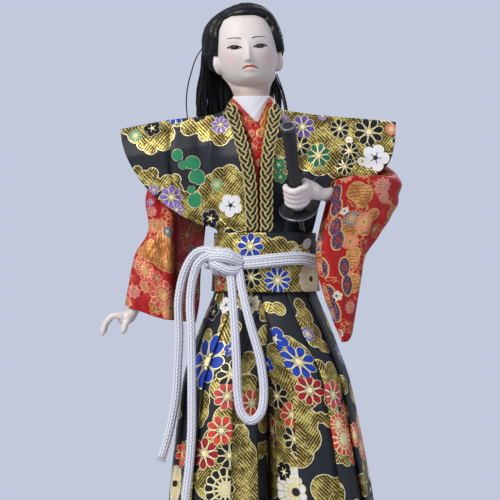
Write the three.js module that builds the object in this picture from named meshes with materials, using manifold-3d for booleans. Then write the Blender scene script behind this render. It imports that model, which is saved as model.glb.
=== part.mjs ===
// A standing samurai doll of the souvenir kind, on a lacquered wooden base.
// Millimetres, +Z up. The doll faces -Y, its left hand is on +X, and the origin is the centre of the base's underside.
import * as THREE from "three";
import { mergeVertices } from "three/addons/utils/BufferGeometryUtils.js";
import Module from "manifold-3d";

const wasm = await Module();
wasm.setup();

// Clearance between pieces that touch, and the thickness of the thin and the stiff brocade
const GAP = 0.3;
const CLOTH = 1.0;
const STIFF_CLOTH = 1.4;

// Base
const BASE_WIDTH = 124;
const BASE_DEPTH = 108;
const BASE_HEIGHT = 12;
const BASE_CORNER = 5;
const BASE_STEP = 1.6;
const BASE_COVE = 4;
const PEG_DEPTH = 8;

// Heights above the table
const HEM_CLEARANCE = 9.5;
const WAIST_Z = 170;
const OBI_BOTTOM_Z = 168;
const OBI_HEIGHT = 29;
const SHOULDER_Z = 258;
const EYE_Z = 290.8;

// Torso: half widths and half depths of the red kimono, from hip to neck
const HIP_HALF_WIDTH = 19;
const HIP_HALF_DEPTH = 15;
const WAIST_HALF_WIDTH = 18;
const WAIST_HALF_DEPTH = 14.5;
const CHEST_HALF_WIDTH = 22;
const CHEST_HALF_DEPTH = 15.5;
const NECK_LEAN = -6.5;
const NECK_RADIUS = 8.6;
const NECK_PEG_RADIUS = 3;

// Head and hair
const HEAD_HALF_WIDTH = 14.4;
const HEAD_HALF_DEPTH = 16.4;
const HEAD_HALF_HEIGHT = 18.4;
const HEAD_ROLL = 6.5;
const HEAD_PITCH = 5;
const HEAD_YAW = 4;
const HAIR_THICKNESS = 2.4;
const HAIR_LENGTH = 92;

// Obi and hakama
const OBI_HALF_WIDTH = 27;
const OBI_HALF_DEPTH = 21.8;
const HEM_HALF_WIDTH = 56.5;
const HEM_HALF_DEPTH = 40;
const PLEAT_DEPTH = 3.2;
const CLEFT_DEPTH = 26;
const HEM_SHIFT = 3.6;

// Legs and feet
const LEG_RADIUS = 2.5;
const STANCE_HALF_WIDTH = 19;
const FOOT_LENGTH = 33;
const FOOT_WIDTH = 12.5;
const SOLE_THICKNESS = 3.2;

// Wings of the stiff shoulder jacket
const RIGHT_WING_REACH = 71.8;
const LEFT_WING_REACH = 65.3;

// Braided trim on the lapels: three strands
const STRAND_RADIUS = 1.15;
const BRAID_HALF_WIDTH = 2.1;
const BRAID_PERIOD = 10;

// White waist cord
const CORD_RADIUS = 2;

// Sword: the hilt leans out of the obi towards the front
const SWORD_TILT = 40;
const SWORD_SLANT = 9;
const HILT_LENGTH = 50;
const HILT_RADIUS = 2.8;
const GUARD_RADIUS = 9;
const GUARD_THICKNESS = 1.4;
const POMMEL_RADIUS = 3.8;
const POMMEL_HEIGHT = 2.4;
const SCABBARD_LENGTH = 116;
const SCABBARD_HALF_WIDTH = 2.7;
const SCABBARD_HALF_THICKNESS = 1.9;
const BLADE_LENGTH = 96;

// Arms
const ARM_WIRE_RADIUS = 1.2;
const ARM_PADDING_RADIUS = 2.6;

const degrees = Math.PI / 180;
const v3 = (x, y, z) => new THREE.Vector3(x, y, z);
const mix = THREE.MathUtils.lerp;
const smooth = THREE.MathUtils.smoothstep;
const bump = (x, width) => Math.exp(-((x / width) ** 2));

// Solid tools

function solid(geometry) {
  const plain = geometry.index ? geometry.toNonIndexed() : geometry.clone();
  const bare = new THREE.BufferGeometry();
  bare.setAttribute("position", plain.getAttribute("position"));
  const merged = mergeVertices(bare, 1e-4);
  const made = new wasm.Manifold(
    new wasm.Mesh({
      numProp: 3,
      vertProperties: merged.attributes.position.array,
      triVerts: new Uint32Array(merged.index.array),
    }),
  );
  return made;
}

function geometryOf(body) {
  const mesh = body.getMesh();
  const points = new Float32Array(mesh.numVert * 3);
  for (let i = 0; i < mesh.numVert; i++) {
    points.set(mesh.vertProperties.subarray(i * mesh.numProp, i * mesh.numProp + 3), i * 3);
  }
  const made = new THREE.BufferGeometry();
  made.setAttribute("position", new THREE.BufferAttribute(points, 3));
  made.setIndex(new THREE.BufferAttribute(mesh.triVerts, 1));
  made.computeVertexNormals();
  return made;
}

const cut = (piece, ...tools) => tools.reduce((left, tool) => left.subtract(solid(tool)), solid(piece));
const largest = (body) => body.decompose().sort((a, b) => b.volume() - a.volume())[0];
const join = (...pieces) => pieces.map(solid).reduce((sum, piece) => sum.add(piece));

// Turns a mesh round if its faces point inwards.
function outward(positions, indices) {
  const made = new THREE.BufferGeometry();
  made.setAttribute("position", new THREE.Float32BufferAttribute(positions, 3));
  made.setIndex(indices);
  const at = (i) => v3().fromArray(positions, 3 * i);
  let volume = 0;
  for (let i = 0; i < indices.length; i += 3) {
    volume += at(indices[i]).dot(at(indices[i + 1]).cross(at(indices[i + 2])));
  }
  if (volume < 0) {
    for (let i = 0; i < indices.length; i += 3) {
      [indices[i + 1], indices[i + 2]] = [indices[i + 2], indices[i + 1]];
    }
    made.setIndex(indices);
  }
  made.computeVertexNormals();
  return made;
}

// A closed solid through rings of equally many points.
function loft(rings) {
  const count = rings[0].length;
  const points = rings.flat();
  const indices = [];
  for (let k = 0; k + 1 < rings.length; k++) {
    for (let i = 0; i < count; i++) {
      const [a, b] = [k * count + i, k * count + ((i + 1) % count)];
      indices.push(a, b, b + count, a, b + count, a + count);
    }
  }
  for (const [k, turned] of [[0, true], [rings.length - 1, false]]) {
    const centre = points.length;
    points.push(rings[k].reduce((sum, p) => sum.add(p), v3()).divideScalar(count));
    for (let i = 0; i < count; i++) {
      const [a, b] = [k * count + i, k * count + ((i + 1) % count)];
      indices.push(...(turned ? [centre, b, a] : [centre, a, b]));
    }
  }
  return outward(points.flatMap((p) => p.toArray()), indices);
}

// An open tube with a wall: outer rings, inner rings and a rim at each end.
function sleeveWall(outer, inner) {
  const count = outer[0].length;
  const loop = [...outer, ...[...inner].reverse()];
  const points = loop.flat();
  const indices = [];
  for (let k = 0; k < loop.length; k++) {
    const next = (k + 1) % loop.length;
    for (let i = 0; i < count; i++) {
      const j = (i + 1) % count;
      const [a, b, c, d] = [k * count + i, k * count + j, next * count + j, next * count + i];
      indices.push(a, b, c, a, c, d);
    }
  }
  return outward(points.flatMap((p) => p.toArray()), indices);
}

// A sheet of cloth with thickness, from a grid of points on its middle surface.
function sheet(rows, thickness) {
  const [height, width] = [rows.length, rows[0].length];
  const clampRow = (i) => Math.min(Math.max(i, 0), height - 1);
  const clampColumn = (j) => Math.min(Math.max(j, 0), width - 1);
  const normal = (i, j) => {
    const across = rows[i][clampColumn(j + 1)].clone().sub(rows[i][clampColumn(j - 1)]);
    const along = rows[clampRow(i + 1)][j].clone().sub(rows[clampRow(i - 1)][j]);
    return across.cross(along).normalize();
  };
  const side = (sign) =>
    rows.map((row, i) => row.map((p, j) => p.clone().addScaledVector(normal(i, j), (sign * thickness) / 2)));
  const points = [...side(1).flat(), ...side(-1).flat()];
  const back = height * width;
  const indices = [];
  const quad = (a, b, c, d) => indices.push(a, b, c, a, c, d);
  for (let i = 0; i + 1 < height; i++) {
    for (let j = 0; j + 1 < width; j++) {
      const a = i * width + j;
      quad(a, a + 1, a + width + 1, a + width);
      quad(back + a, back + a + width, back + a + width + 1, back + a + 1);
    }
    const [left, right] = [i * width, i * width + width - 1];
    quad(left, left + width, back + left + width, back + left);
    quad(right + width, right, back + right, back + right + width);
  }
  for (let j = 0; j + 1 < width; j++) {
    const last = (height - 1) * width + j;
    quad(j + 1, j, back + j, back + j + 1);
    quad(last, last + 1, back + last + 1, back + last);
  }
  return outward(points.flatMap((p) => p.toArray()), indices);
}

// A level oval ring; a power over 2 squares its corners.
function oval(x, y, z, halfWidth, halfDepth, count, power = 2) {
  return Array.from({ length: count }, (_, i) => {
    const [c, s] = [Math.cos((2 * Math.PI * i) / count), Math.sin((2 * Math.PI * i) / count)];
    const round = (value) => Math.sign(value) * Math.abs(value) ** (2 / power);
    return v3(x + halfWidth * round(c), y + halfDepth * round(s), z);
  });
}

const curveThrough = (points) => new THREE.CatmullRomCurve3(points, false, "centripetal");

function tube(points, radius, sides, steps) {
  const section = new THREE.Shape(
    Array.from({ length: sides }, (_, i) => {
      const angle = (2 * Math.PI * i) / sides;
      return new THREE.Vector2(radius * Math.cos(angle), radius * Math.sin(angle));
    }),
  );
  return new THREE.ExtrudeGeometry(section, { steps, bevelEnabled: false, extrudePath: curveThrough(points) });
}

// A round rod from one point to another; the radii may differ.
function rod(from, to, radius, sides = 12, endRadius = radius) {
  const length = from.distanceTo(to);
  const made = new THREE.CylinderGeometry(endRadius, radius, length, sides);
  made.translate(0, length / 2, 0);
  const turn = new THREE.Quaternion().setFromUnitVectors(v3(0, 1, 0), to.clone().sub(from).normalize());
  return made.applyQuaternion(turn).translate(from.x, from.y, from.z);
}

// A limb whose radius changes along its path. `flat` squeezes its section along `squeeze`.
function limb(points, radii, sides, steps, flat = 1, squeeze = v3(0, 0, 1)) {
  const path = curveThrough(points);
  const frames = path.computeFrenetFrames(steps, false);
  const rings = [];
  for (let k = 0; k <= steps; k++) {
    const t = k / steps;
    const place = t * (radii.length - 1);
    const low = Math.min(Math.floor(place), radii.length - 2);
    const radius = mix(radii[low], radii[low + 1], place - low);
    const centre = path.getPointAt(t);
    rings.push(
      Array.from({ length: sides }, (_, i) => {
        const angle = (2 * Math.PI * i) / sides;
        const arm = frames.normals[k].clone().multiplyScalar(radius * Math.cos(angle));
        arm.addScaledVector(frames.binormals[k], radius * Math.sin(angle));
        arm.addScaledVector(squeeze, (flat - 1) * arm.dot(squeeze));
        return arm.add(centre);
      }),
    );
  }
  return loft(rings);
}

// Colours and finishes
const finish = (color, roughness, metalness = 0) => new THREE.MeshStandardMaterial({ color, roughness, metalness });
const LACQUER = finish(0x14110f, 0.25);
const WOOD = finish(0xb98f5c, 0.7);
const FOAM = finish(0xd9cfae, 0.95);
const PORCELAIN = finish(0xeee4e2, 0.35);
const HAIR = finish(0x0b0b0d, 0.45);
const WHITE_CLOTH = finish(0xf2f2f6, 0.8);
const RED_BROCADE = finish(0xa3181f, 0.55);
const GOLD_BROCADE = finish(0x8c7a3a, 0.5, 0.3);
const GOLD_BRAID = finish(0xc9b45a, 0.4, 0.5);
const STRAW = finish(0xcdb27a, 0.8);
const WIRE = finish(0x8d9094, 0.35, 0.9);
const STEEL = finish(0xc9ccd0, 0.25, 0.9);

const doll = new THREE.Group();
function piece(name, shape, material) {
  const mesh = new THREE.Mesh(shape.getMesh ? geometryOf(shape) : shape, material);
  mesh.name = name;
  doll.add(mesh);
  return mesh;
}

// Sword axis: `grip` is where it crosses the guard, `up` points to the pommel, `edge` across the blade.
const OBI_TOP_Z = OBI_BOTTOM_Z + OBI_HEIGHT;
const swordUp = v3(
  -Math.sin(SWORD_SLANT * degrees) * Math.cos(SWORD_TILT * degrees),
  -Math.sin(SWORD_TILT * degrees),
  Math.cos(SWORD_SLANT * degrees) * Math.cos(SWORD_TILT * degrees),
);
const swordSide = v3().crossVectors(v3(0, 1, 0), swordUp).normalize();
const swordBack = v3().crossVectors(swordUp, swordSide).normalize();
const guardCentre = v3(OBI_HALF_WIDTH - 11, -OBI_HALF_DEPTH - 0.7, OBI_TOP_Z + 11.7);
const onSword = (along, side = 0, back = 0) =>
  guardCentre
    .clone()
    .addScaledVector(swordUp, along)
    .addScaledVector(swordSide, side)
    .addScaledVector(swordBack, back);
const swordRing = (along, halfThickness, halfWidth, count) =>
  Array.from({ length: count }, (_, i) => {
    const angle = (2 * Math.PI * i) / count;
    return onSword(along, halfThickness * Math.cos(angle), halfWidth * Math.sin(angle));
  });
// The room that the scabbard needs where it passes through clothes.
const scabbardRoom = loft(
  [GUARD_THICKNESS, -SCABBARD_LENGTH].map((along) =>
    swordRing(along, SCABBARD_HALF_THICKNESS + 2 * GAP, SCABBARD_HALF_WIDTH + 2 * GAP, 12),
  ),
);

// The doll leans a little above the waist.
const leanAt = (z) => NECK_LEAN * THREE.MathUtils.clamp((z - WAIST_Z) / (SHOULDER_Z - WAIST_Z), 0, 1);

// Half width and half depth of the body under its clothes at a height.
const CHEST_Z = mix(OBI_TOP_Z, SHOULDER_Z, 0.62);
const ARMPIT_Z = mix(OBI_TOP_Z, SHOULDER_Z, 0.84);
const bodyStations = [
  [WAIST_Z - 22, HIP_HALF_WIDTH, HIP_HALF_DEPTH],
  [WAIST_Z - 6, HIP_HALF_WIDTH, HIP_HALF_DEPTH],
  [OBI_BOTTOM_Z + OBI_HEIGHT / 2, WAIST_HALF_WIDTH, WAIST_HALF_DEPTH],
  [OBI_TOP_Z + 4, WAIST_HALF_WIDTH + 1.5, WAIST_HALF_DEPTH],
  [CHEST_Z, CHEST_HALF_WIDTH, CHEST_HALF_DEPTH],
  [ARMPIT_Z, CHEST_HALF_WIDTH * 0.9, CHEST_HALF_DEPTH * 0.8],
  [SHOULDER_Z - 6, NECK_RADIUS + 5.6, NECK_RADIUS + 2.6],
];
const bodyRings = (inset, count, from = 0, to = bodyStations.length) =>
  bodyStations
    .slice(from, to)
    .map(([z, halfWidth, halfDepth]) => oval(leanAt(z), 0, z, halfWidth - inset, halfDepth - inset, count));

// Arms: where the wires leave the shoulders, bend at the elbow and end in the hands
const SHOULDER_PIN_Z = mix(OBI_TOP_Z, SHOULDER_Z, 0.64);
const rightShoulder = v3(leanAt(SHOULDER_PIN_Z) - CHEST_HALF_WIDTH - 1.5, 0, SHOULDER_PIN_Z);
const leftShoulder = v3(leanAt(SHOULDER_PIN_Z) + CHEST_HALF_WIDTH + 1.5, 0, SHOULDER_PIN_Z);
const rightWrist = v3(-67, 0, 166);
const leftElbow = v3(54, 3, 214);
const leftWrist = v3(35, -22, 216.5);

function buildBase() {
  const corner = (inset) => Math.max(BASE_CORNER - inset, 0.5);
  const ring = (inset, z) => {
    const [w, d, r] = [BASE_WIDTH / 2 - inset, BASE_DEPTH / 2 - inset, corner(inset)];
    const points = [];
    for (const [sx, sy, start] of [[1, 1, 0], [-1, 1, 90], [-1, -1, 180], [1, -1, 270]]) {
      for (let i = 0; i <= 3; i++) {
        const angle = (start + 30 * i) * degrees;
        points.push(v3(sx * (w - r) + r * Math.cos(angle), sy * (d - r) + r * Math.sin(angle), z));
      }
    }
    return points;
  };
  const coveBottom = BASE_HEIGHT - BASE_COVE;
  const rings = [ring(0.6, 0), ring(0, 0.8), ring(0, coveBottom - 1.2), ring(BASE_STEP, coveBottom)];
  for (let i = 0; i <= 3; i++) {
    const angle = 30 * i * degrees;
    rings.push(
      ring(BASE_STEP + 1 + BASE_COVE * (1 - Math.cos(angle)) * 0.6, coveBottom + 0.4 + (BASE_COVE - 0.4) * Math.sin(angle)),
    );
  }
  piece("base_plinth", cut(loft(rings), ...[-1, 1].map((side) => legRod(side, GAP))), LACQUER);
}

// The legs are dowels that lean in from the feet to the hips.
const legFoot = (side) => v3(side * STANCE_HALF_WIDTH, -12, BASE_HEIGHT - PEG_DEPTH);
const legTop = (side) => v3(side * HIP_HALF_WIDTH * 0.45, 0, WAIST_Z - 8);
function legRod(side, extra = 0) {
  const [foot, top] = [legFoot(side), legTop(side)];
  const lengthen = top.clone().sub(foot).normalize().multiplyScalar(extra);
  return rod(foot.clone().sub(lengthen), top.clone().add(lengthen), LEG_RADIUS + extra, 12);
}

const soleTop = BASE_HEIGHT + GAP + SOLE_THICKNESS;

function buildFoot(side, name) {
  const ankle = legFoot(side);
  const heelY = ankle.y + FOOT_LENGTH * 0.24;
  // A sandal sole, then a split-toed sock whose ankle runs up inside the trousers, then the sandal's strap.
  const soleRing = (z, inset) =>
    Array.from({ length: 20 }, (_, i) => {
      const angle = (2 * Math.PI * i) / 20;
      const along = Math.sin(angle);
      const halfWidth = FOOT_WIDTH * (0.56 - 0.05 * along) - inset;
      return v3(ankle.x + halfWidth * Math.cos(angle), heelY - FOOT_LENGTH / 2 + (FOOT_LENGTH / 2 + 1.5 - inset) * along, z);
    });
  const sole = loft([soleRing(BASE_HEIGHT + GAP, 0.4), soleRing(soleTop - 1, 0), soleRing(soleTop, 0.3)]);
  piece("zori_sole_" + name, cut(sole, legRod(side, GAP)), STRAW);

  const footRing = (t) => {
    const y = heelY - FOOT_LENGTH * t;
    const halfWidth = FOOT_WIDTH * (0.34 + 0.16 * Math.sin(Math.PI * Math.min(t * 1.15, 1) * 0.75)) * Math.sin(Math.PI * mix(0.22, 0.84, t));
    const height = mix(11, 4.2, smooth(t, 0.1, 0.85));
    return Array.from({ length: 8 }, (_, i) => {
      const angle = (2 * Math.PI * i) / 8;
      return v3(
        ankle.x + halfWidth * Math.cos(angle),
        y,
        soleTop + GAP + height / 2 + (height / 2) * Math.sin(angle),
      );
    });
  };
  const foot = loft([0, 0.15, 0.4, 0.7, 0.9, 1].map(footRing));
  const shin = rod(v3(ankle.x, ankle.y, soleTop + 5), v3(ankle.x - side, ankle.y + 1.5, soleTop + 24), 4.6, 8, 5);
  const toeSplit = new THREE.BoxGeometry(0.7, FOOT_LENGTH * 0.2, 8).translate(
    ankle.x - side * FOOT_WIDTH * 0.17,
    heelY - FOOT_LENGTH,
    soleTop + 2,
  );
  const strapBar = (sideways) => [
    v3(ankle.x - side * FOOT_WIDTH * 0.1, heelY - FOOT_LENGTH * 0.82, soleTop + 5.2),
    v3(ankle.x + sideways * FOOT_WIDTH * 0.36, heelY - FOOT_LENGTH * 0.62, soleTop + 5.4),
    v3(ankle.x + sideways * (FOOT_WIDTH * 0.5 + 0.5), heelY - FOOT_LENGTH * 0.42, soleTop + 1.2),
  ];
  const sock = join(foot, shin);
  const strap = join(tube(strapBar(1), 0.8, 6, 4), tube(strapBar(-1), 0.8, 6, 4));
  const strapRoom = join(tube(strapBar(1), 1 + GAP, 4, 4), tube(strapBar(-1), 1 + GAP, 4, 4));
  piece("tabi_foot_" + name, sock.subtract(strapRoom).subtract(solid(toeSplit)).subtract(solid(legRod(side, GAP))), WHITE_CLOTH);
  piece("zori_strap_" + name, strap.subtract(solid(sole).translate(0, 0, GAP)), LACQUER);
}

function buildBody() {
  for (const [side, name] of [[-1, "right"], [1, "left"]]) {
    piece("leg_dowel_" + name, legRod(side), WOOD);
    buildFoot(side, name);
  }
  const coreInset = CLOTH + GAP + 1;
  const pegTop = SHOULDER_Z + 16;
  const pegFoot = SHOULDER_Z - 30;
  const peg = (extra) => rod(v3(NECK_LEAN, 0, pegFoot - extra), v3(NECK_LEAN, 0, pegTop + extra), NECK_PEG_RADIUS + extra, 16);
  const core = cut(
    loft([
      ...bodyRings(coreInset, 18, 0, bodyStations.length - 1),
      oval(NECK_LEAN, 0, SHOULDER_Z - 7, NECK_RADIUS + 1, NECK_RADIUS, 18),
    ]),
    legRod(-1, GAP),
    legRod(1, GAP),
    peg(GAP),
    armStub(-1, GAP),
    armStub(1, GAP),
    scabbardRoom,
  );
  piece("body_core", core, FOAM);
  piece("neck_peg", peg(0), WOOD);

  // Cones of wadding fill out the trouser legs.
  for (const [side, name] of [[-1, "right"], [1, "left"]]) {
    const cone = [0, 0.5, 1].map((t) =>
      oval(
        side * mix(11.5, HEM_HALF_WIDTH * 0.46, t) + HEM_SHIFT * t,
        mix(0, -1, t),
        mix(WAIST_Z - 46, BASE_HEIGHT + HEM_CLEARANCE + 9, t),
        mix(9, HEM_HALF_WIDTH * 0.34, t),
        mix(13, HEM_HALF_DEPTH * 0.62, t),
        16,
      ),
    );
    const shinRoom = rod(
      v3(legFoot(side).x, legFoot(side).y, BASE_HEIGHT),
      v3(legFoot(side).x - side * 1.2, legFoot(side).y + 2, soleTop + 25),
      5.8,
      14,
      6,
    );
    piece("leg_wadding_" + name, cut(loft(cone), legRod(side, GAP), shinRoom), FOAM);
  }

  // The red kimono under the jacket: one wrap from hip to neck.
  const outer = bodyRings(0, 20);
  const inner = bodyRings(CLOTH, 20);
  const kimono = cut(sleeveWall(outer, inner), armStub(-1, 4 * GAP), armStub(1, 4 * GAP), scabbardRoom);
  piece("kimono_body", kimono, RED_BROCADE);
}

// The stub of an arm wire that turns in the shoulder.
function armStub(side, extra = 0) {
  const shoulder = side < 0 ? rightShoulder : leftShoulder;
  const inside = v3(leanAt(SHOULDER_PIN_Z) + side * 6, 0, SHOULDER_PIN_Z);
  return rod(inside.clone().add(v3(-side * extra, 0, 0)), shoulder.clone().add(v3(side * extra, 0, 0)), ARM_WIRE_RADIUS + extra, 10);
}

// Head: a sphere's directions turned into a face, in a frame centred between the ears, -Y forwards.
function faceForm(direction) {
  const { x, y, z } = direction;
  const p = v3(HEAD_HALF_WIDTH * x, HEAD_HALF_DEPTH * y, HEAD_HALF_HEIGHT * z);
  const jaw = Math.max(-z, 0) ** 1.6;
  p.x *= 1 - 0.38 * jaw;
  p.y *= 1 - (y < 0 ? 0.2 : 0.42) * jaw;
  const front = smooth(-y, 0.15, 0.7);
  const flatBrow = 0.9 * bump(p.z - 7, 7) * bump(p.x, 9);
  const nose = 2.5 * bump(p.x, 1.5) * smooth(-p.z, -4.5, 6.8) * (1 - smooth(-p.z, 6.8, 9));
  const sockets = 0.9 * (bump(p.x - 6.2, 3.4) + bump(p.x + 6.2, 3.4)) * bump(p.z - 0.6, 2.4);
  const lips = 0.8 * bump(p.x, 3) * bump(p.z + 10.6, 1.3);
  const chin = 1.4 * bump(p.x, 4.5) * bump(p.z + 16, 3);
  p.y += front * (flatBrow - nose + sockets - lips - chin);
  return p;
}

const headCentre = v3(NECK_LEAN - 2.8, -1.5, EYE_Z);
const headTurn = new THREE.Matrix4()
  .makeRotationFromEuler(new THREE.Euler(HEAD_PITCH * degrees, -HEAD_ROLL * degrees, HEAD_YAW * degrees, "ZYX"))
  .setPosition(headCentre);

function buildHead() {
  const skull = new THREE.SphereGeometry(1, 24, 16);
  const place = skull.getAttribute("position");
  for (let i = 0; i < place.count; i++) {
    const direction = v3().fromBufferAttribute(place, i);
    const turned = faceForm(v3(direction.x, -direction.z, direction.y)).applyMatrix4(headTurn);
    place.setXYZ(i, turned.x, turned.y, turned.z);
  }
  const ear = (side) => {
    const shape = new THREE.SphereGeometry(1, 8, 6).scale(1.7, 3.2, 5.2);
    return shape.translate(side * (HEAD_HALF_WIDTH - 0.4), 1.5, -8.5).applyMatrix4(headTurn);
  };
  const neckTop = v3(NECK_LEAN - 0.6, headCentre.y + 3.5, EYE_Z - 10);
  const neck = loft(
    [0, 0.2, 0.6, 1].map((t) => {
      const centre = v3(NECK_LEAN, 0, SHOULDER_Z - 6.5).lerp(neckTop, t);
      const radius = NECK_RADIUS * (t === 0 ? 1.04 : mix(1, 0.94, t));
      return oval(centre.x, centre.y, centre.z, radius, radius, 20);
    }),
  );
  const bore = rod(v3(NECK_LEAN, 0, SHOULDER_Z - 9), v3(NECK_LEAN, 0, SHOULDER_Z + 18), NECK_PEG_RADIUS + GAP, 16);
  piece("head", join(skull, ear(-1), ear(1), neck).subtract(solid(bore)), PORCELAIN);

  // Hair: a cap over the skull behind the hairline, fuller at the back and on the doll's right.
  const cap = new THREE.SphereGeometry(1, 20, 13);
  const capPlace = cap.getAttribute("position");
  for (let i = 0; i < capPlace.count; i++) {
    const d = v3().fromBufferAttribute(capPlace, i);
    const direction = v3(d.x, -d.z, d.y);
    const p = faceForm(direction);
    const behind = smooth(direction.y, -0.4, 0.9);
    const scale = 1 + (HAIR_THICKNESS * (1 + 0.9 * behind)) / p.length();
    p.multiplyScalar(scale);
    p.x -= 3.2 * behind * smooth(-direction.x, -0.2, 0.9);
    p.applyMatrix4(headTurn);
    capPlace.setXYZ(i, p.x, p.y, p.z);
  }
  const headRoom = new THREE.SphereGeometry(1, 18, 12);
  const roomPlace = headRoom.getAttribute("position");
  for (let i = 0; i < roomPlace.count; i++) {
    const d = v3().fromBufferAttribute(roomPlace, i);
    const p = faceForm(v3(d.x, -d.z, d.y));
    p.multiplyScalar(1 + 2.4 * GAP / p.length()).applyMatrix4(headTurn);
    roomPlace.setXYZ(i, p.x, p.y, p.z);
  }
  // The face opening: a prism through the front, square above the brow and narrowing to the jaw.
  const opening = new THREE.Shape([
    [-13.6, -26], [-14.6, -3], [-12.6, 8], [-10, 12.6], [-6, 14.2], [6, 14.2], [10, 12.6], [12.6, 8], [14.6, -3], [13.6, -26],
  ].map(([x, z]) => new THREE.Vector2(x, z)));
  const facePrism = new THREE.ExtrudeGeometry(opening, { depth: 24, bevelEnabled: false })
    .rotateX(Math.PI / 2)
    .translate(0, 1, 0)
    .applyMatrix4(headTurn);
  const nape = new THREE.BoxGeometry(60, 60, 30).translate(0, 0, -26).applyMatrix4(headTurn);
  const earRoom = (side) =>
    new THREE.SphereGeometry(1, 8, 6)
      .scale(2.4, 4, 6.2)
      .translate(side * (HEAD_HALF_WIDTH - 0.2), 1.5, -8.5)
      .applyMatrix4(headTurn);
  piece("hair_cap", cut(cap, headRoom, facePrism, nape, earRoom(-1), earRoom(1)), HAIR);

  // A tail tied behind the crown falls over the right shoulder blade.
  const tailRoot = v3(-3, HEAD_HALF_DEPTH + 2 * HAIR_THICKNESS + 0.6, 3).applyMatrix4(headTurn);
  const tailEnd = tailRoot.z - HAIR_LENGTH;
  const tailStations = [
    [0, 0, 3.4, 2.6],
    [-1, -8, 10, 3.6],
    [-1, -22, 20, 3.6],
    [0, -38, 22.5, 3],
    [1, -62, 17, 2.6],
    [1, -HAIR_LENGTH, 9, 1.6],
  ];
  const tail = tailStations.map(([shift, drop, halfWidth, halfDepth]) => {
    const ring = oval(tailRoot.x + shift, tailRoot.y + 3 + 0.03 * -drop, tailRoot.z + drop, halfWidth, halfDepth, 14);
    return drop === 0 ? ring.map((p) => p.add(v3(0, 0, -1))) : ring;
  });
  piece("hair_tail", loft(tail), HAIR);
  const tieCentre = v3(tailRoot.x, tailRoot.y + 3, tailRoot.z + 1.2);
  piece("hair_tie", new THREE.CylinderGeometry(4, 4.2, 3.2, 16).rotateX(Math.PI / 2).translate(tieCentre.x, tieCentre.y, tieCentre.z), LACQUER);
  return tailEnd;
}

// Collars: bands that stand round the neck and cross on the chest.
function collarBand(levels, width, thickness) {
  const line = curveThrough(levels);
  const steps = 22;
  const rows = [];
  for (let k = 0; k <= steps; k++) {
    const p = line.getPointAt(k / steps);
    const out = v3(p.x - NECK_LEAN, p.y, 0).normalize();
    const upward = v3(out.x * -0.25, out.y * -0.25, 1).normalize();
    const tangent = line.getTangentAt(k / steps);
    const across = upward.addScaledVector(tangent, -upward.dot(tangent)).normalize();
    rows.push([p.clone().addScaledVector(across, -width / 2), p, p.clone().addScaledVector(across, width / 2)].map((q) => q.clone()));
  }
  return sheet(rows, thickness);
}

// How far forward the chest stands at a height, for what lies on it.
function chestFront(z, x, out) {
  let k = 0;
  while (k < bodyStations.length - 2 && z > bodyStations[k + 1][0]) {
    k++;
  }
  const [low, high] = [bodyStations[k], bodyStations[k + 1]];
  const t = THREE.MathUtils.clamp((z - low[0]) / (high[0] - low[0]), 0, 1);
  const [a, b] = [mix(low[1], high[1], t) + out, mix(low[2], high[2], t) + out];
  return -b * Math.sqrt(Math.max(1 - ((x - leanAt(z)) / a) ** 2, 0.02));
}

// White under-collar and the red kimono's collar, crossed left over right.
function buildCollars() {
  const coneRings = (inset) =>
    [
      [SHOULDER_Z - 5.4, 12.4, 11.6, -0.2],
      [SHOULDER_Z - 0.6, 10.9, 10.6, 0],
      [SHOULDER_Z + 4.4, 9.8, 10, 0.7],
    ].map(([z, halfWidth, halfDepth, y], k) =>
      oval(NECK_LEAN, y, z, halfWidth - inset, halfDepth - inset, 24).map((p) =>
        p.add(v3(0, 0, (k / 2) * 2.6 * THREE.MathUtils.clamp((p.y - y) / halfDepth, -1, 0.6))),
      ),
    );
  piece("under_collar", sleeveWall(coneRings(0), coneRings(0.8)), WHITE_CLOTH);

  // The collar starts low on the chest, passes behind the neck and comes down over its own start.
  const bandWidth = 6.4;
  const nape = [165, 130, 90, 50, 15].map((angle) =>
    v3(
      NECK_LEAN + 12.5 * Math.cos(angle * degrees),
      13.6 * Math.sin(angle * degrees),
      SHOULDER_Z + 1.2 + 1.6 * Math.sin(angle * degrees),
    ),
  );
  const path = curveThrough([
    v3(1.6, -17, SHOULDER_Z - 33),
    v3(-3.5, -17, SHOULDER_Z - 22),
    v3(-8.6, -15, SHOULDER_Z - 12.5),
    v3(NECK_LEAN - 11.2, -8.6, SHOULDER_Z - 3.4),
    ...nape,
    v3(NECK_LEAN + 11.2, -8.6, SHOULDER_Z - 3.4),
    v3(-1.5, -15, SHOULDER_Z - 12.5),
    v3(-5.8, -17, SHOULDER_Z - 22),
    v3(-8.6, -17, SHOULDER_Z - 33),
  ]);
  const steps = 26;
  const rows = [];
  for (let k = 0; k <= steps; k++) {
    const p = path.getPointAt(k / steps);
    const out = v3(p.x - NECK_LEAN, p.y, 7).normalize();
    const across = v3().crossVectors(out, path.getTangentAt(k / steps)).normalize();
    rows.push(
      [-0.5, 0, 0.5].map((u) => {
        const q = p.clone().addScaledVector(across, u * bandWidth);
        const onChest = 1 - smooth(q.z, SHOULDER_Z - 11, SHOULDER_Z - 3);
        q.y = mix(q.y, chestFront(q.z, q.x, mix(0.95, 2.25, k / steps)), onChest);
        return q;
      }),
    );
  }
  piece("kimono_collar", sheet(rows, CLOTH), RED_BROCADE);
}

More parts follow.
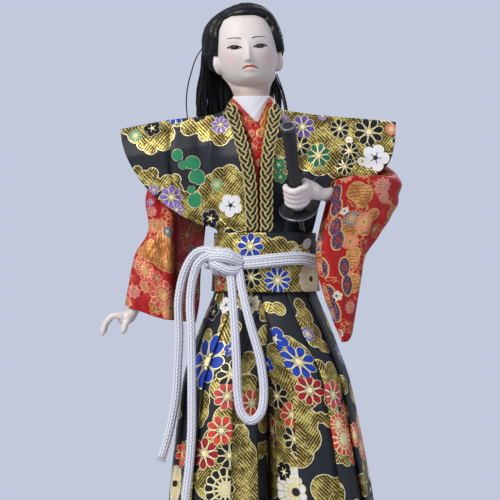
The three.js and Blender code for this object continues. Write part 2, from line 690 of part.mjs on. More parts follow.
// Jacket: outlines in the X and Z of the front view
const braidLine = {
  right: [[-18.4, 259], [-13.3, 245], [-9.1, 231.3], [-7.3, 219.3], [-6.8, 206], [-6.7, 199.6]],
  left: [[6.3, 259], [3.7, 248], [1.4, 237], [0.6, 224.3], [0.6, 210], [0.6, 199.6]],
};
const wingTop = {
  right: [[-19, 257.5], [-28, 255], [-47.9, 253.4], [-RIGHT_WING_REACH, 249.3]],
  left: [[8, 257.5], [26, 255.6], [46, 254], [LEFT_WING_REACH, 251.6]],
};
const wingEdge = {
  right: [[-RIGHT_WING_REACH, 249.3], [-70.6, 241], [-66.7, 231.2], [-57.8, 218.4], [-44.9, 208], [-33, 202], [-24.2, 199.6]],
  left: [[LEFT_WING_REACH, 251.6], [63.9, 240.1], [60.2, 230.6], [52.6, 225], [36, 224.8], [28, 214], [24.4, 199.6]],
};
const flat = (pairs) => curveThrough(pairs.map(([x, z]) => v3(x, 0, z)));

// How far the jacket stands off the body's middle plane, in front or behind.
function jacketOffset(x, z, front) {
  const aside = Math.abs(x - leanAt(z));
  const shoulderLine = mix(SHOULDER_Z + 0.5, SHOULDER_Z - 8, THREE.MathUtils.clamp((aside - 11) / 58, 0, 1));
  const drop = Math.max(shoulderLine - z, 0);
  const wing = mix(1.1, front ? 9 : 17, Math.min(drop / 16, 1) ** 0.8);
  const body = -chestFront(z, x, front ? 3.7 : 3.2);
  const near = (1 - smooth(aside, CHEST_HALF_WIDTH - 5, CHEST_HALF_WIDTH + 9)) * smooth(drop, 0, 5);
  const neck = aside < 15.4 ? 17.4 * Math.sqrt(1 - (aside / 15.5) ** 2) * smooth(z, SHOULDER_Z - 9, SHOULDER_Z - 3) : 0;
  // The guard presses the left front in where the sword slides past it.
  const pressed = front && x > 0 ? 3.2 * bump(Math.hypot(x - guardCentre.x + 4.5, z - guardCentre.z), 8) : 0;
  return Math.max(mix(wing, Math.max(wing, body), near), neck) - pressed;
}

function jacketRows(side, front, columns, rowCount) {
  const inner = front ? flat(braidLine[side]) : flat([[NECK_LEAN, SHOULDER_Z], [-3, 225], [0, 199.6]]);
  const [top, edge] = [flat(wingTop[side]), flat(wingEdge[side])];
  const neck = front ? [] : [v3(NECK_LEAN, 0, SHOULDER_Z)];
  const topLine = front ? top : curveThrough([...neck, ...top.points]);
  const rows = [];
  for (let k = 0; k <= rowCount; k++) {
    const t = k / rowCount;
    const [a, b] = [inner.getPointAt(t), edge.getPointAt(t)];
    const [topA, topB] = [topLine.getPointAt(0), topLine.getPointAt(1)];
    rows.push(
      columns.map((u) => {
        const rise = topLine.getPointAt(u).z - mix(topA.z, topB.z, u);
        const p = v3(mix(a.x, b.x, u), 0, mix(a.z, b.z, u) + (1 - t) ** 2 * rise);
        const pleat = u > 0.62 ? 1.3 : u > 0.42 ? 0.6 : 0;
        const offset = jacketOffset(p.x, p.z, front) + (front ? pleat * Math.min(1, 3 * t) : 0);
        p.y = front ? -offset : offset;
        return p;
      }),
    );
  }
  return rows;
}

function buildJacket() {
  const columns = [0, 0.12, 0.26, 0.4, 0.44, 0.52, 0.6, 0.64, 0.76, 0.88, 1];
  for (const side of ["right", "left"]) {
    piece("jacket_front_" + side, cut(sheet(jacketRows(side, true, columns, 8), STIFF_CLOTH), scabbardRoom), GOLD_BROCADE);
  }
  const backColumns = [0, 0.14, 0.28, 0.42, 0.56, 0.7, 0.85, 1];
  const [right, left] = ["right", "left"].map((side) => jacketRows(side, false, backColumns, 8));
  const rows = right.map((row, k) => [...[...row].reverse(), ...left[k].slice(1)]);
  piece("jacket_back", cut(sheet(rows, STIFF_CLOTH), scabbardRoom), GOLD_BROCADE);

  // Each braid is a plaited band that covers the front edge of the jacket.
  for (const side of ["right", "left"]) {
    const line = flat(braidLine[side]);
    const steps = 26;
    const rings = [];
    for (let k = 0; k <= steps; k++) {
      const p = line.getPointAt(k / steps);
      const along = line.getTangentAt(k / steps);
      const across = v3(-along.z, 0, along.x);
      p.y = -jacketOffset(p.x, p.z, true) - STIFF_CLOTH / 2 - 2 * GAP - STRAND_RADIUS;
      const swell = 1 + 0.05 * Math.sin((4 * Math.PI * k * line.getLength()) / steps / BRAID_PERIOD);
      rings.push(
        Array.from({ length: 8 }, (_, i) => {
          const angle = (2 * Math.PI * i) / 8;
          const wide = (BRAID_HALF_WIDTH + STRAND_RADIUS) * swell * Math.cos(angle);
          return p.clone().addScaledVector(across, wide).add(v3(0, STRAND_RADIUS * Math.sin(angle), 0));
        }),
      );
    }
    piece("braid_" + side, loft(rings), GOLD_BRAID);
  }
}

// Obi: a stiff sash that bulges where the scabbard runs under it.
function obiRing(z, out, count) {
  const t = (z - OBI_BOTTOM_Z) / OBI_HEIGHT;
  const [a, b] = [mix(OBI_HALF_WIDTH, OBI_HALF_WIDTH - 1.4, t), mix(OBI_HALF_DEPTH, OBI_HALF_DEPTH - 1, t)];
  const along = (z - guardCentre.z) / swordUp.z;
  const axis = onSword(along);
  const scabbardAngle = Math.atan2(axis.y / b, axis.x / a);
  const reach = Math.hypot(axis.x / a, axis.y / b) + (SCABBARD_HALF_WIDTH + 1.2 + CLOTH) / a;
  const swell = Math.max(reach - 1, 0);
  return Array.from({ length: count }, (_, i) => {
    const angle = (2 * Math.PI * i) / count;
    const turned = Math.atan2(Math.sin(angle - scabbardAngle), Math.cos(angle - scabbardAngle));
    const scale = 1 + swell * bump(turned, 0.34);
    return v3((a * scale + out) * Math.cos(angle), (b * scale + out) * Math.sin(angle), z);
  });
}

// Height of the cord's belt, which droops a little to the knot
const beltZ = (x) => OBI_BOTTOM_Z + OBI_HEIGHT * 0.57 - 0.02 * (x + OBI_HALF_WIDTH);

function buildSash() {
  const levels = [0, 0.35, 0.7, 1].map((t) => OBI_BOTTOM_Z + GAP + t * OBI_HEIGHT);
  const outer = levels.map((z) => obiRing(z, 0, 36));
  const inner = levels.map((z) => obiRing(z, -CLOTH, 36));
  piece("obi", cut(sleeveWall(outer, inner), scabbardRoom), GOLD_BROCADE);

  // Twice round the waist: two strands, one above the other.
  const strand = (rise) => {
    const points = obiRing(OBI_BOTTOM_Z + OBI_HEIGHT / 2, CORD_RADIUS + 0.25, 24).map((p) => p.setZ(beltZ(p.x) + rise));
    return new THREE.TubeGeometry(new THREE.CatmullRomCurve3(points, true), 24, CORD_RADIUS, 6, true);
  };
  piece("waist_cord", join(strand(0.9 * CORD_RADIUS), strand(-0.9 * CORD_RADIUS)), WHITE_CLOTH);
}

// Hakama: two pleated legs, joined at the hips and down the middle, where a groove parts them.
// Each level gives the centre, half width and half depth of both legs, and how full the pleats are.
const MIDDLE_SEAM = 0.4;
const hakamaStations = [
  [WAIST_Z, 4, 20.4, 18.2, 0],
  [WAIST_Z - 18, 10, 22.2, 24.5, 0.5],
  [WAIST_Z - 44, 20.6, 20.6 + MIDDLE_SEAM, 29.5, 0.9],
  [WAIST_Z - 68, 22.6, 22.6 + MIDDLE_SEAM, 32.6, 1],
  [WAIST_Z - 100, 25, 25 + MIDDLE_SEAM, 36.3, 1],
  [BASE_HEIGHT + HEM_CLEARANCE, HEM_HALF_WIDTH / 2, HEM_HALF_WIDTH / 2 + MIDDLE_SEAM, HEM_HALF_DEPTH, 1],
];
function legRing(side, station, inset, pleated, count = 36) {
  const [z, x, halfWidth, halfDepth, depth] = station;
  const shift = HEM_SHIFT * smooth(WAIST_Z - z, 0, 150);
  return Array.from({ length: count }, (_, i) => {
    const angle = (2 * Math.PI * i) / count;
    const square = (value) => Math.sign(value) * Math.abs(value) ** mix(1, 0.8, depth);
    const facing = Math.abs(Math.sin(angle));
    // Knife pleats: each rises steadily and then drops, five in front of each leg and behind it
    const fold = ((angle / Math.PI) * 5 + (side < 0 ? 0.1 : 0.6)) % 1;
    const pleat = pleated * PLEAT_DEPTH * depth * smooth(facing, 0.2, 0.6) * (fold < 0.75 ? fold / 0.75 : (1 - fold) * 4);
    const [a, b] = [halfWidth - inset - pleat, halfDepth - inset - pleat];
    return v3(side * x + shift + a * square(Math.cos(angle)), b * square(Math.sin(angle)), z);
  });
}

function buildHakama() {
  const leg = (side, inset, extend) =>
    loft(
      hakamaStations.map((station, k) => {
        const last = k === 0 ? extend : k === hakamaStations.length - 1 ? -extend : 0;
        return legRing(side, station, inset, 1).map((p) => p.setZ(p.z + last));
      }),
    );
  const outer = join(leg(-1, 0, 0), leg(1, 0, 0));
  const inner = join(leg(-1, CLOTH, 1), leg(1, CLOTH, 1));
  piece("hakama", outer.subtract(inner).subtract(solid(scabbardRoom)), GOLD_BROCADE);

  // A stiff board stands against the small of the back, over the sash.
  const rows = [0, 0.35, 0.7, 1].map((t) =>
    [-1, -0.67, -0.33, 0, 0.33, 0.67, 1].map((u) => {
      const angle = (90 - u * mix(20, 31, t)) * degrees;
      const radius = mix(OBI_HALF_DEPTH + 2.4, OBI_HALF_DEPTH + 0.4, Math.min(1, 1.6 * t));
      return v3(OBI_HALF_WIDTH * Math.cos(angle), radius * Math.sin(angle) ** 0.7, OBI_BOTTOM_Z + mix(OBI_HEIGHT + 4, 21.5, t));
    }),
  );
  piece("hakama_back_board", sheet(rows, 1.4), GOLD_BROCADE);
}

// The cord's knot and its hanging ends. The cord is folded in half, so that one end is a loop and the other two tails.
const knotCentre = v3(-21.5, -20.5, OBI_BOTTOM_Z + 14.5);
const cordRoutes = {
  cord_loop: [
    [-17.6, -23.4, 179], [-16.4, -26.8, 168], [-15.2, -31.2, 150], [-14.3, -33.4, 133.5], [-13.6, -34.8, 116.3],
    [-11.6, -35.8, 107], [-7, -36.4, 103.4], [-2.4, -36.2, 107], [-0.6, -35.2, 116.3], [-2.3, -34, 133.5],
    [-7.4, -31.8, 152], [-11, -28, 167], [-13, -23.8, 178.2],
  ],
  cord_tail_inner: [
    [-25.6, -24.2, 186.4], [-29, -24.6, 188.4], [-33, -23.4, 185.4], [-35.8, -21.8, 177], [-37.4, -22, 163.8],
    [-37, -24.6, 150], [-36.7, -26.4, 133.5], [-36.6, -28.4, 116], [-36.7, -30, 99.3], [-38, -31.4, 80], [-39.7, -32.4, 64.8], [-40.4, -33, 54],
  ],
  cord_tail_outer: [
    [-24.4, -20.6, 190.6], [-28.8, -20.8, 192.8], [-34.6, -19.4, 190.6], [-39.8, -17.8, 181], [-43.2, -17, 163.8],
    [-42.9, -17, 146.5], [-43.6, -17.4, 131], [-44.5, -18, 116.3], [-47.4, -19, 100], [-51.5, -20, 85.3],
  ],
};

function buildCord() {
  const route = (name) => cordRoutes[name].map(([x, y, z]) => v3(x, y, z));
  const fat = CORD_RADIUS + GAP;
  const starts = Object.keys(cordRoutes).map((name) => tube(route(name), fat + 0.1, 6, 14));
  // The knot: a turn of doubled cord round the belt
  const turn = [-1, 0, 1].map((k) => {
    const points = [150, 200, 250, 300, 350, 390].map((angle) =>
      v3(
        knotCentre.x + 4.1 * k + 0.8 * Math.cos(angle * degrees),
        knotCentre.y + 2.6 + 5.2 * Math.cos((angle - 270) * degrees) * -1,
        knotCentre.z + 7 * Math.sin((angle - 250) * degrees),
      ),
    );
    return tube(points, 2.3, 6, 7);
  });
  const belly = new THREE.SphereGeometry(1, 10, 8).scale(7.4, 4.2, 4.6).translate(knotCentre.x, knotCentre.y, knotCentre.z);
  const beltRoom = [0.9, -0.9].map((rise) => {
    const points = obiRing(OBI_BOTTOM_Z + OBI_HEIGHT / 2, CORD_RADIUS + 0.25, 24).map((p) => p.setZ(beltZ(p.x) + rise * CORD_RADIUS));
    return new THREE.TubeGeometry(new THREE.CatmullRomCurve3(points, true), 24, fat, 6, true);
  });
  const obiRoom = loft([0, 1].map((t) => obiRing(OBI_BOTTOM_Z + t * OBI_HEIGHT, GAP, 36)));
  let knot = join(...turn, belly);
  for (const room of [...beltRoom, ...starts, obiRoom]) {
    knot = knot.subtract(solid(room));
  }
  piece("cord_knot", largest(knot), WHITE_CLOTH);
  for (const name of Object.keys(cordRoutes)) {
    piece(name, tube(route(name), CORD_RADIUS, 8, name === "cord_loop" ? 24 : 14), WHITE_CLOTH);
  }
}

// A sleeve: each station is a flat ring round a spine from top to bottom, with a half thickness and a facing angle.
function sleeveRings(stations, inset, count) {
  return stations.map(([top, middle, bottom, angle, half]) => {
    const across = v3(Math.cos(angle * degrees), Math.sin(angle * degrees), 0);
    const spine = curveThrough([v3(...top), v3(...middle), v3(...bottom)]);
    const length = spine.getLength();
    return Array.from({ length: count }, (_, i) => {
      const turn = (2 * Math.PI * i) / count;
      const u = (1 - Math.cos(turn)) / 2;
      const p = spine.getPointAt(mix(inset / length, 1 - inset / length, u));
      const power = u < 0.5 ? 0.5 : 1;
      const round = Math.sign(Math.sin(turn)) * Math.abs(Math.sin(turn)) ** power;
      return p.addScaledVector(across, (half - inset) * round);
    });
  });
}

// The right arm hangs away from the body; its sleeve is open along the whole lower edge.
const rightSleeve = [
  [[-26.4, 0.6, 243], [-27, 0.6, 234], [-26.2, 0.6, 224], 90, 5],
  [[-48, 1.5, 239], [-40, 1.5, 229], [-30.6, 1.5, 216], 90, 6.2],
  [[-59.4, 1.5, 217], [-46, 1.5, 212], [-31.4, 1.5, 205], 90, 7],
  [[-58.4, 1, 199], [-46, 1, 196], [-33, 1, 191], 90, 7.2],
  [[-65, 0, 186.5], [-49, 0, 182], [-33.4, 0, 177], 90, 7.6],
  [[-68.2, -0.5, 171.4], [-51, -0.5, 166], [-34, -0.5, 163], 90, 8],
  [[-70, -1, 161.4], [-51, -1, 154.8], [-35, -1, 152.4], 90, 7.6],
];

// The left forearm lies across the front, and its sleeve hangs below it, open along the edge at the wrist.
const leftSleeve = [
  [[16.7, 0, 244], [18.4, 0, 234], [17.9, 0, 223], 90, 5],
  [[30, 1.5, 243], [30, 1.5, 231], [30, 1.5, 213], 90, 5.4],
  [[44, 3, 240], [43, 3, 225], [42, 3, 207], 90, 5.6],
  [[57, 2, 233], [56, 2, 217], [53, 1, 199], 50, 5.4],
  [[62.5, -7, 226], [60, -7, 213], [54, -6.5, 199], -14, 6],
  [[54, -15.5, 225.4], [51, -15.5, 204], [45, -14, 178], -60, 5.4],
  [[43, -21, 225], [40, -21, 190], [42, -18, 148], -74, 5.6],
  [[33, -24, 222.6], [26, -22, 185], [37.5, -18, 143.5], -78, 6],
];

const armWire = {
  right: [[-46, 1.5, 212], [-56, 0, 186], [-63.6, -1, 165], [-65, -1, 158.5]],
  left: [[44, 3, 229], [55, 2, 221], [61.4, -7, 217.5], [53.6, -15.4, 217], [42, -21.2, 217], [33, -23.8, 217], [28, -25.2, 217]],
};

function armPath(side) {
  const sign = side === "right" ? -1 : 1;
  const shoulder = sign < 0 ? rightShoulder : leftShoulder;
  const inside = v3(leanAt(SHOULDER_PIN_Z) + sign * 6, 0, SHOULDER_PIN_Z);
  return [inside, shoulder, ...armWire[side].map((p) => v3(...p))];
}

function buildArm(side) {
  const path = armPath(side);
  const wire = join(armStub(side === "right" ? -1 : 1), tube(path.slice(1), ARM_WIRE_RADIUS, 6, 14));
  piece(side + "_arm_wire", wire, WIRE);
  const wireRoom = tube(path.slice(1), ARM_WIRE_RADIUS + GAP + 0.1, 6, 14);
  const last = path.length - 1;
  const padded = path.slice(2, last);
  const padding = limb(padded, [ARM_PADDING_RADIUS, ARM_PADDING_RADIUS * 0.9, ARM_PADDING_RADIUS * 0.8], 8, 5);
  piece(side + "_arm_wadding", cut(padding, wireRoom), FOAM);
  const stations = side === "right" ? rightSleeve : leftSleeve;
  const sleeve = sleeveWall(sleeveRings(stations, 0, 18), sleeveRings(stations, CLOTH, 18));
  piece(side + "_sleeve", sleeve, RED_BROCADE);
  return wireRoom;
}

function buildHands() {
  // Right hand: relaxed, with the fingers curled away from the thumb.
  const rightRoom = buildArm("right");
  const wrist = v3(-64.9, -1, 159.6);
  const fingers = [-5.4, -2.6, 0.2, 2.8].map((y, k) => {
    const reach = [0.9, 1, 1, 0.88][k];
    return limb(
      [v3(-71, y * 0.8 - 0.6, 155.6), v3(-75.6, y, 156), v3(-75.8 - 4.2 * reach, y, 151.6), v3(-76 - 5.4 * reach, y, 151.6 - 6 * reach)],
      [1.7, 1.6, 1.5, 1.1],
      6,
      5,
    );
  });
  const palm = limb([wrist.clone().add(v3(0.8, 0, 2.6)), wrist, v3(-69.2, -1.4, 155), v3(-72.8, -1.4, 155.8)], [2.6, 2.8, 3.5, 2.9], 10, 6, 1.4, v3(0, 1, 0));
  const thumb = limb([v3(-67.6, -3.6, 155.5), v3(-69.4, -5.4, 151.6), v3(-70.6, -5.2, 147)], [2, 1.8, 1.3], 6, 5);
  piece("right_hand", largest(join(palm, thumb, ...fingers).subtract(solid(rightRoom))), PORCELAIN);

  // Left hand: four fingers round the hilt, just above the guard, and the thumb over them.
  const leftRoom = buildArm("left");
  const round = HILT_RADIUS + 2.1;
  const grip = [6.6, 9.9, 13.2, 16.4].map((along, k) => {
    const points = [40, -10, -60, -110, -160, -205].map((angle) => {
      const spread = angle > 30 ? 1.25 : 1;
      return onSword(along, spread * round * Math.cos(angle * degrees), spread * round * Math.sin(angle * degrees));
    });
    return limb(points, [1.9, 1.8, 1.75, 1.6 - 0.1 * (k % 3)], 6, 7);
  });
  const heel = onSword(11.5, 6.4, 2);
  const back = limb([v3(32.4, -24, 217), v3(28, -25.2, 217), heel, onSword(11.5, 4, 4.6)], [2.4, 3, 5, 4], 10, 6, 1.25, swordUp);
  const leftThumb = limb([onSword(17, 8, 2), onSword(19.4, 4, -4.4), onSword(19.2, -1.6, -6.2)], [2.2, 1.9, 1.3], 6, 6);
  const bore = loft([-2, HILT_LENGTH].map((along) => swordRing(along, HILT_RADIUS + GAP, HILT_RADIUS + GAP, 14)));
  const fist = join(back, leftThumb, ...grip).subtract(solid(leftRoom)).subtract(solid(bore));
  piece("left_hand", largest(fist), PORCELAIN);
}

function buildSword() {
  const half = GUARD_THICKNESS / 2;
  const bladeRoom = (extra) =>
    loft(
      [-BLADE_LENGTH - extra, -BLADE_LENGTH + 8, HILT_LENGTH * 0.4 + extra].map((along, k) =>
        swordRing(along, 0.55 + extra, (k === 0 ? 0.6 : 1.7) + extra, 8),
      ),
    );
  const round = (levels, count) => loft(levels.map(([along, radius]) => swordRing(along, radius, radius, count)));
  const guard = round([[-half, GUARD_RADIUS - 0.4], [-half + 0.4, GUARD_RADIUS], [half - 0.4, GUARD_RADIUS], [half, GUARD_RADIUS - 0.4]], 20);
  piece("guard", cut(guard, bladeRoom(GAP)), LACQUER);
  const collarTop = half + GAP + 3;
  piece("hilt_collar", cut(round([[half + GAP, HILT_RADIUS + 0.5], [collarTop, HILT_RADIUS + 0.2]], 16), bladeRoom(GAP)), WIRE);
  const hiltTop = HILT_LENGTH - POMMEL_HEIGHT - GAP;
  const hilt = round([[collarTop + GAP, HILT_RADIUS], [mix(collarTop, hiltTop, 0.5), HILT_RADIUS - 0.25], [hiltTop, HILT_RADIUS]], 16);
  piece("hilt", cut(hilt, bladeRoom(GAP)), LACQUER);
  piece("pommel", round([[hiltTop + GAP, POMMEL_RADIUS - 0.3], [hiltTop + GAP + 0.5, POMMEL_RADIUS], [HILT_LENGTH - 0.6, POMMEL_RADIUS], [HILT_LENGTH, POMMEL_RADIUS - 0.7]], 16), LACQUER);
  piece("blade", bladeRoom(0), STEEL);

  const [a, b] = [SCABBARD_HALF_THICKNESS, SCABBARD_HALF_WIDTH];
  const mouth = -half - GAP;
  const tip = -SCABBARD_LENGTH;
  const body = loft([mouth - 4 - GAP, tip + 6 + GAP].map((along) => swordRing(along, a, b, 14)));
  piece("scabbard", cut(body, bladeRoom(GAP)), LACQUER);
  const ringShape = loft([mouth, mouth - 4].map((along) => swordRing(along, a + 0.3, b + 0.3, 14)));
  piece("scabbard_mouth", cut(ringShape, bladeRoom(GAP)), WIRE);
  const cap = loft([[tip + 6, 0.2], [tip + 1, 0.1], [tip, -0.8]].map(([along, extra]) => swordRing(along, a + extra, b + extra, 14)));
  piece("scabbard_cap", cap, WIRE);
}

buildBase();
buildBody();
buildHead();
buildCollars();
buildJacket();
buildSash();
buildHakama();
buildCord();
buildHands();
buildSword();

export default doll;
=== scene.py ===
import math
import random

import bmesh
import bpy
import numpy as np
from bpy.props import FloatProperty, FloatVectorProperty, PointerProperty
from mathutils import Matrix, Vector, noise


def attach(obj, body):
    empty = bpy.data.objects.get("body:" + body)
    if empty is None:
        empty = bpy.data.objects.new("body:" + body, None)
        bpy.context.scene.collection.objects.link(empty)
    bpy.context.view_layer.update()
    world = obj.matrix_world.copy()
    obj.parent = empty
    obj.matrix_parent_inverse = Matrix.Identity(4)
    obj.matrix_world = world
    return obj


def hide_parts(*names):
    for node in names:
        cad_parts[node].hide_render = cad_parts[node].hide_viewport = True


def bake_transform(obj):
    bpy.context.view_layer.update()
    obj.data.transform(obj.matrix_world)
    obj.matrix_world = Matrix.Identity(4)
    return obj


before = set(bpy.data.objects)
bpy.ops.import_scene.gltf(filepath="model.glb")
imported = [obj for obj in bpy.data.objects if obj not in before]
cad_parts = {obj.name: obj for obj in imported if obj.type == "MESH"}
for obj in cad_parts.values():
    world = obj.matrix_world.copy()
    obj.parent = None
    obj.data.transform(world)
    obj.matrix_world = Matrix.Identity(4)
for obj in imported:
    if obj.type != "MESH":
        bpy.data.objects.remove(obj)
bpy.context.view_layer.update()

bl_info = {
    "name": "Samurai doll",
    "version": (1, 0, 0),
    "blender": (4, 5, 0),
    "location": "View3D > Sidebar > Doll",
    "description": "Dresses the carved solids of a standing samurai doll in brocade, braid, cord and hair",
    "category": "Object",
}

MM = 0.001


# Sizes and colours a user would change

def length_size(label, about, value):
    return FloatProperty(name=label, description=about, default=value, unit="LENGTH")


def angle_size(label, about, degrees):
    return FloatProperty(name=label, description=about, default=math.radians(degrees), subtype="ANGLE")


def colour(label, about, value):
    return FloatVectorProperty(name=label, description=about, default=value, subtype="COLOR", size=3,
                               min=0, max=1)


class DollSizes(bpy.types.PropertyGroup):
    obi_bottom: length_size("Obi bottom", "Height of the sash's lower edge", 0.168)
    obi_height: length_size("Obi height", "Height of the sash", 0.029)
    shoulder_height: length_size("Shoulder height", "Height of the shoulder seam", 0.258)
    hem_height: length_size("Hem height", "Height of the trouser hem", 0.0215)
    pleat_depth: length_size("Pleat depth", "Depth of a knife pleat at the hem", 0.0032)
    cord_diameter: length_size("Cord diameter", "Diameter of the white cord", 0.0044)
    braid_period: length_size("Braid period", "Length of one full plait of the lapel braid", 0.0118)
    hair_length: length_size("Hair length", "Length of the hanging hair", 0.092)
    head_roll: angle_size("Head roll", "How far the head leans to its right", 3.6)
    head_pitch: angle_size("Head pitch", "How far the chin is raised", 5)
    head_yaw: angle_size("Head yaw", "How far the face turns to its left", 1.3)


class DollColours(bpy.types.PropertyGroup):
    skin: colour("Skin", "Smooth vinyl of the face and hands", (0.80, 0.725, 0.70))
    hair: colour("Hair", "Black fibre", (0.004, 0.004, 0.005))
    black: colour("Black ground", "Satin ground of the dark brocade", (0.010, 0.012, 0.017))
    red: colour("Red ground", "Satin ground of the red brocade", (0.40, 0.007, 0.009))
    gold: colour("Gold thread", "Bright metal thread", (0.64, 0.43, 0.11))
    copper: colour("Copper thread", "Copper metal thread of the red brocade", (0.60, 0.24, 0.065))
    white: colour("White cord", "Braided white cord", (0.90, 0.90, 0.96))
    linen: colour("White cloth", "Under-collar and socks", (0.78, 0.79, 0.86))
    lacquer: colour("Lacquer", "Black lacquer of the base and sword", (0.010, 0.009, 0.009))
    straw: colour("Straw", "Plaited straw of the sandals", (0.52, 0.38, 0.17))


class DollStage(bpy.types.PropertyGroup):
    distance: length_size("Camera distance", "From the doll's middle plane to the camera", 0.75)
    view_width: length_size("View width", "Width of the picture at the doll", 0.25)
    key_power: FloatProperty(name="Key light", description="Power of the large front light", default=14.0,
                             unit="POWER")
    background: colour("Background", "Pale lavender grey behind the doll", (0.535, 0.585, 0.710))


# The camera looks along +Y at this X and Z, in millimetres
VIEW_X, VIEW_Z = -7.5, 188.75


def sizes():
    return bpy.context.scene.doll_sizes


def tints():
    return bpy.context.scene.doll_colours


def view_distance():
    return bpy.context.scene.doll_stage.distance / MM


# Numbers

def clamp(x, low=0.0, high=1.0):
    return min(max(x, low), high)


def mix(a, b, t):
    return a + (b - a) * t


def smooth(x, low, high):
    t = clamp((x - low) / (high - low))
    return t * t * (3 - 2 * t)


def bump(x, width):
    return math.exp(-((x / width) ** 2))


def signed_power(value, power):
    return math.copysign(abs(value) ** power, value)


def wander(x, y=0.0, z=0.0):
    """Soft noise from -1 to 1."""
    return noise.noise(Vector((x, y, z)))


class Path:
    """A smooth curve through points, read by the share of its length."""

    def __init__(self, points, closed=False, steps=16):
        points = [Vector(p) for p in points]
        count = len(points)
        self.line = []
        for i in range(count if closed else count - 1):
            def near(k):
                if closed:
                    return points[k % count]
                if k < 0:
                    return points[0] * 2 - points[1]
                if k >= count:
                    return points[-1] * 2 - points[-2]
                return points[k]
            a, b, c, d = (near(i + k) for k in (-1, 0, 1, 2))
            r, s, t = (max((q - p).length, 1e-6) ** 0.5 for p, q in ((a, b), (b, c), (c, d)))
            leave = ((b - a) / r - (c - a) / (r + s) + (c - b) / s) * s
            reach = ((c - b) / s - (d - b) / (s + t) + (d - c) / t) * s
            for k in range(steps):
                w = k / steps
                self.line.append(
                    b + leave * w
                    + (c * 3 - b * 3 - leave * 2 - reach) * w * w
                    + (b * 2 - c * 2 + leave + reach) * w ** 3
                )
        self.line.append(points[0].copy() if closed else points[-1].copy())
        self.marks = [0.0]
        for p, q in zip(self.line, self.line[1:]):
            self.marks.append(self.marks[-1] + (q - p).length)
        self.length = self.marks[-1]

    def at(self, share):
        goal = clamp(share) * self.length
        low = int(np.searchsorted(self.marks, goal, side="right")) - 1
        low = min(max(low, 0), len(self.line) - 2)
        span = self.marks[low + 1] - self.marks[low]
        return self.line[low].lerp(self.line[low + 1], (goal - self.marks[low]) / span if span else 0)

    def along(self, share, step=0.002):
        return (self.at(share + step) - self.at(share - step)).normalized()

    def frames(self, count):
        """Place, side and rise at count + 1 even steps, without twist."""
        made = []
        side = None
        for k in range(count + 1):
            ahead = self.along(k / count)
            if side is None:
                side = ahead.cross(Vector((0.13, 0.2, 1))).normalized()
            side = (side - ahead * side.dot(ahead)).normalized()
            made.append((self.at(k / count), side, ahead.cross(side)))
        return made


# Mesh tools: places are in millimetres

def cloth_grid(whole, across, along, place, unfold=None, wrap=False, loop=False, ends=False, material=0,
               flip=False):
    """Adds a grid to a bmesh and bends it.

    place(u, v) is each point, and unfold(u, v, point) its place on the flat cloth.
    """
    bm = bmesh.new()
    layer = bm.loops.layers.uv.new("cloth")
    new = bmesh.ops.create_grid(bm, x_segments=across, y_segments=along, size=1)["verts"]
    spot = {v: ((v.co.x + 1) / 2, (v.co.y + 1) / 2) for v in new}
    points = {v: Vector(place(*spot[v])) for v in new}
    faces = {f for v in new for f in v.link_faces}
    for face in faces:
        face.smooth = True
        face.material_index = material
        for corner in face.loops:
            u, v = spot[corner.vert]
            flat = unfold(u, v, points[corner.vert]) if unfold else (u, v)
            corner[layer].uv = (flat[0] * MM, flat[1] * MM) if unfold else flat
    for v in new:
        v.co = points[v] * MM
    on_end = lambda share: min(share, 1 - share) < 1e-5
    seams = [v for v in new if (wrap and on_end(spot[v][0])) or (loop and on_end(spot[v][1]))]
    caps = [[v for v in new if abs(spot[v][1] - end) < 1e-5] for end in (0, 1)] if ends else []
    if seams:
        merged = bmesh.ops.find_doubles(bm, verts=seams, dist=2e-7)["targetmap"]
        caps = [[v for v in cap if v not in merged] for cap in caps]
        bmesh.ops.weld_verts(bm, targetmap=merged)
    for cap in caps:
        rim = set(cap)
        near = {e for v in cap for e in v.link_edges}
        bmesh.ops.contextual_create(bm, geom=[e for e in near if e.verts[0] in rim and e.verts[1] in rim])
    if flip:
        bmesh.ops.reverse_faces(bm, faces=bm.faces)
    part = bpy.data.meshes.new("part")
    bm.to_mesh(part)
    bm.free()
    whole.from_mesh(part)
    bpy.data.meshes.remove(part)


def rows_of(across, down, point):
    """Rows of points from the top down: point(u, v) gives each, with both shares from 0 to 1."""
    return [[point(i / across, k / down) for i in range(across + 1)] for k in range(down + 1)]


def make_piece(name, bm, looks, node="", body="figure", slot="", outward=True, toward=None):
    """Turns a bmesh into an object that rides on a body and stands for one of the solids.

    It has one material for each finish in looks. An open sheet's faces look along toward(place).
    """
    looks = looks.split()
    if outward:
        bmesh.ops.recalc_face_normals(bm, faces=bm.faces)
    if toward:
        bm.normal_update()
        if sum(f.calc_area() * f.normal.dot(toward(f.calc_center_median())) for f in bm.faces) < 0:
            bmesh.ops.reverse_faces(bm, faces=bm.faces)
    mesh = bpy.data.meshes.new(name)
    bm.to_mesh(mesh)
    bm.free()
    for face in mesh.polygons:
        face.use_smooth = True
    made = bpy.data.objects.new(name, mesh)
    bpy.context.scene.collection.objects.link(made)
    for look in looks:
        mesh.materials.append(finish(look))
    if body:
        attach(made, body)
    slot or looks[0]
    if node:
        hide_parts(node)
    return made


def thicken(made, thickness):
    wall = made.modifiers.new("Cloth thickness", "SOLIDIFY")
    wall.thickness = thickness * MM
    wall.offset = 0
    wall.use_even_offset = False
    wall.use_quality_normals = True


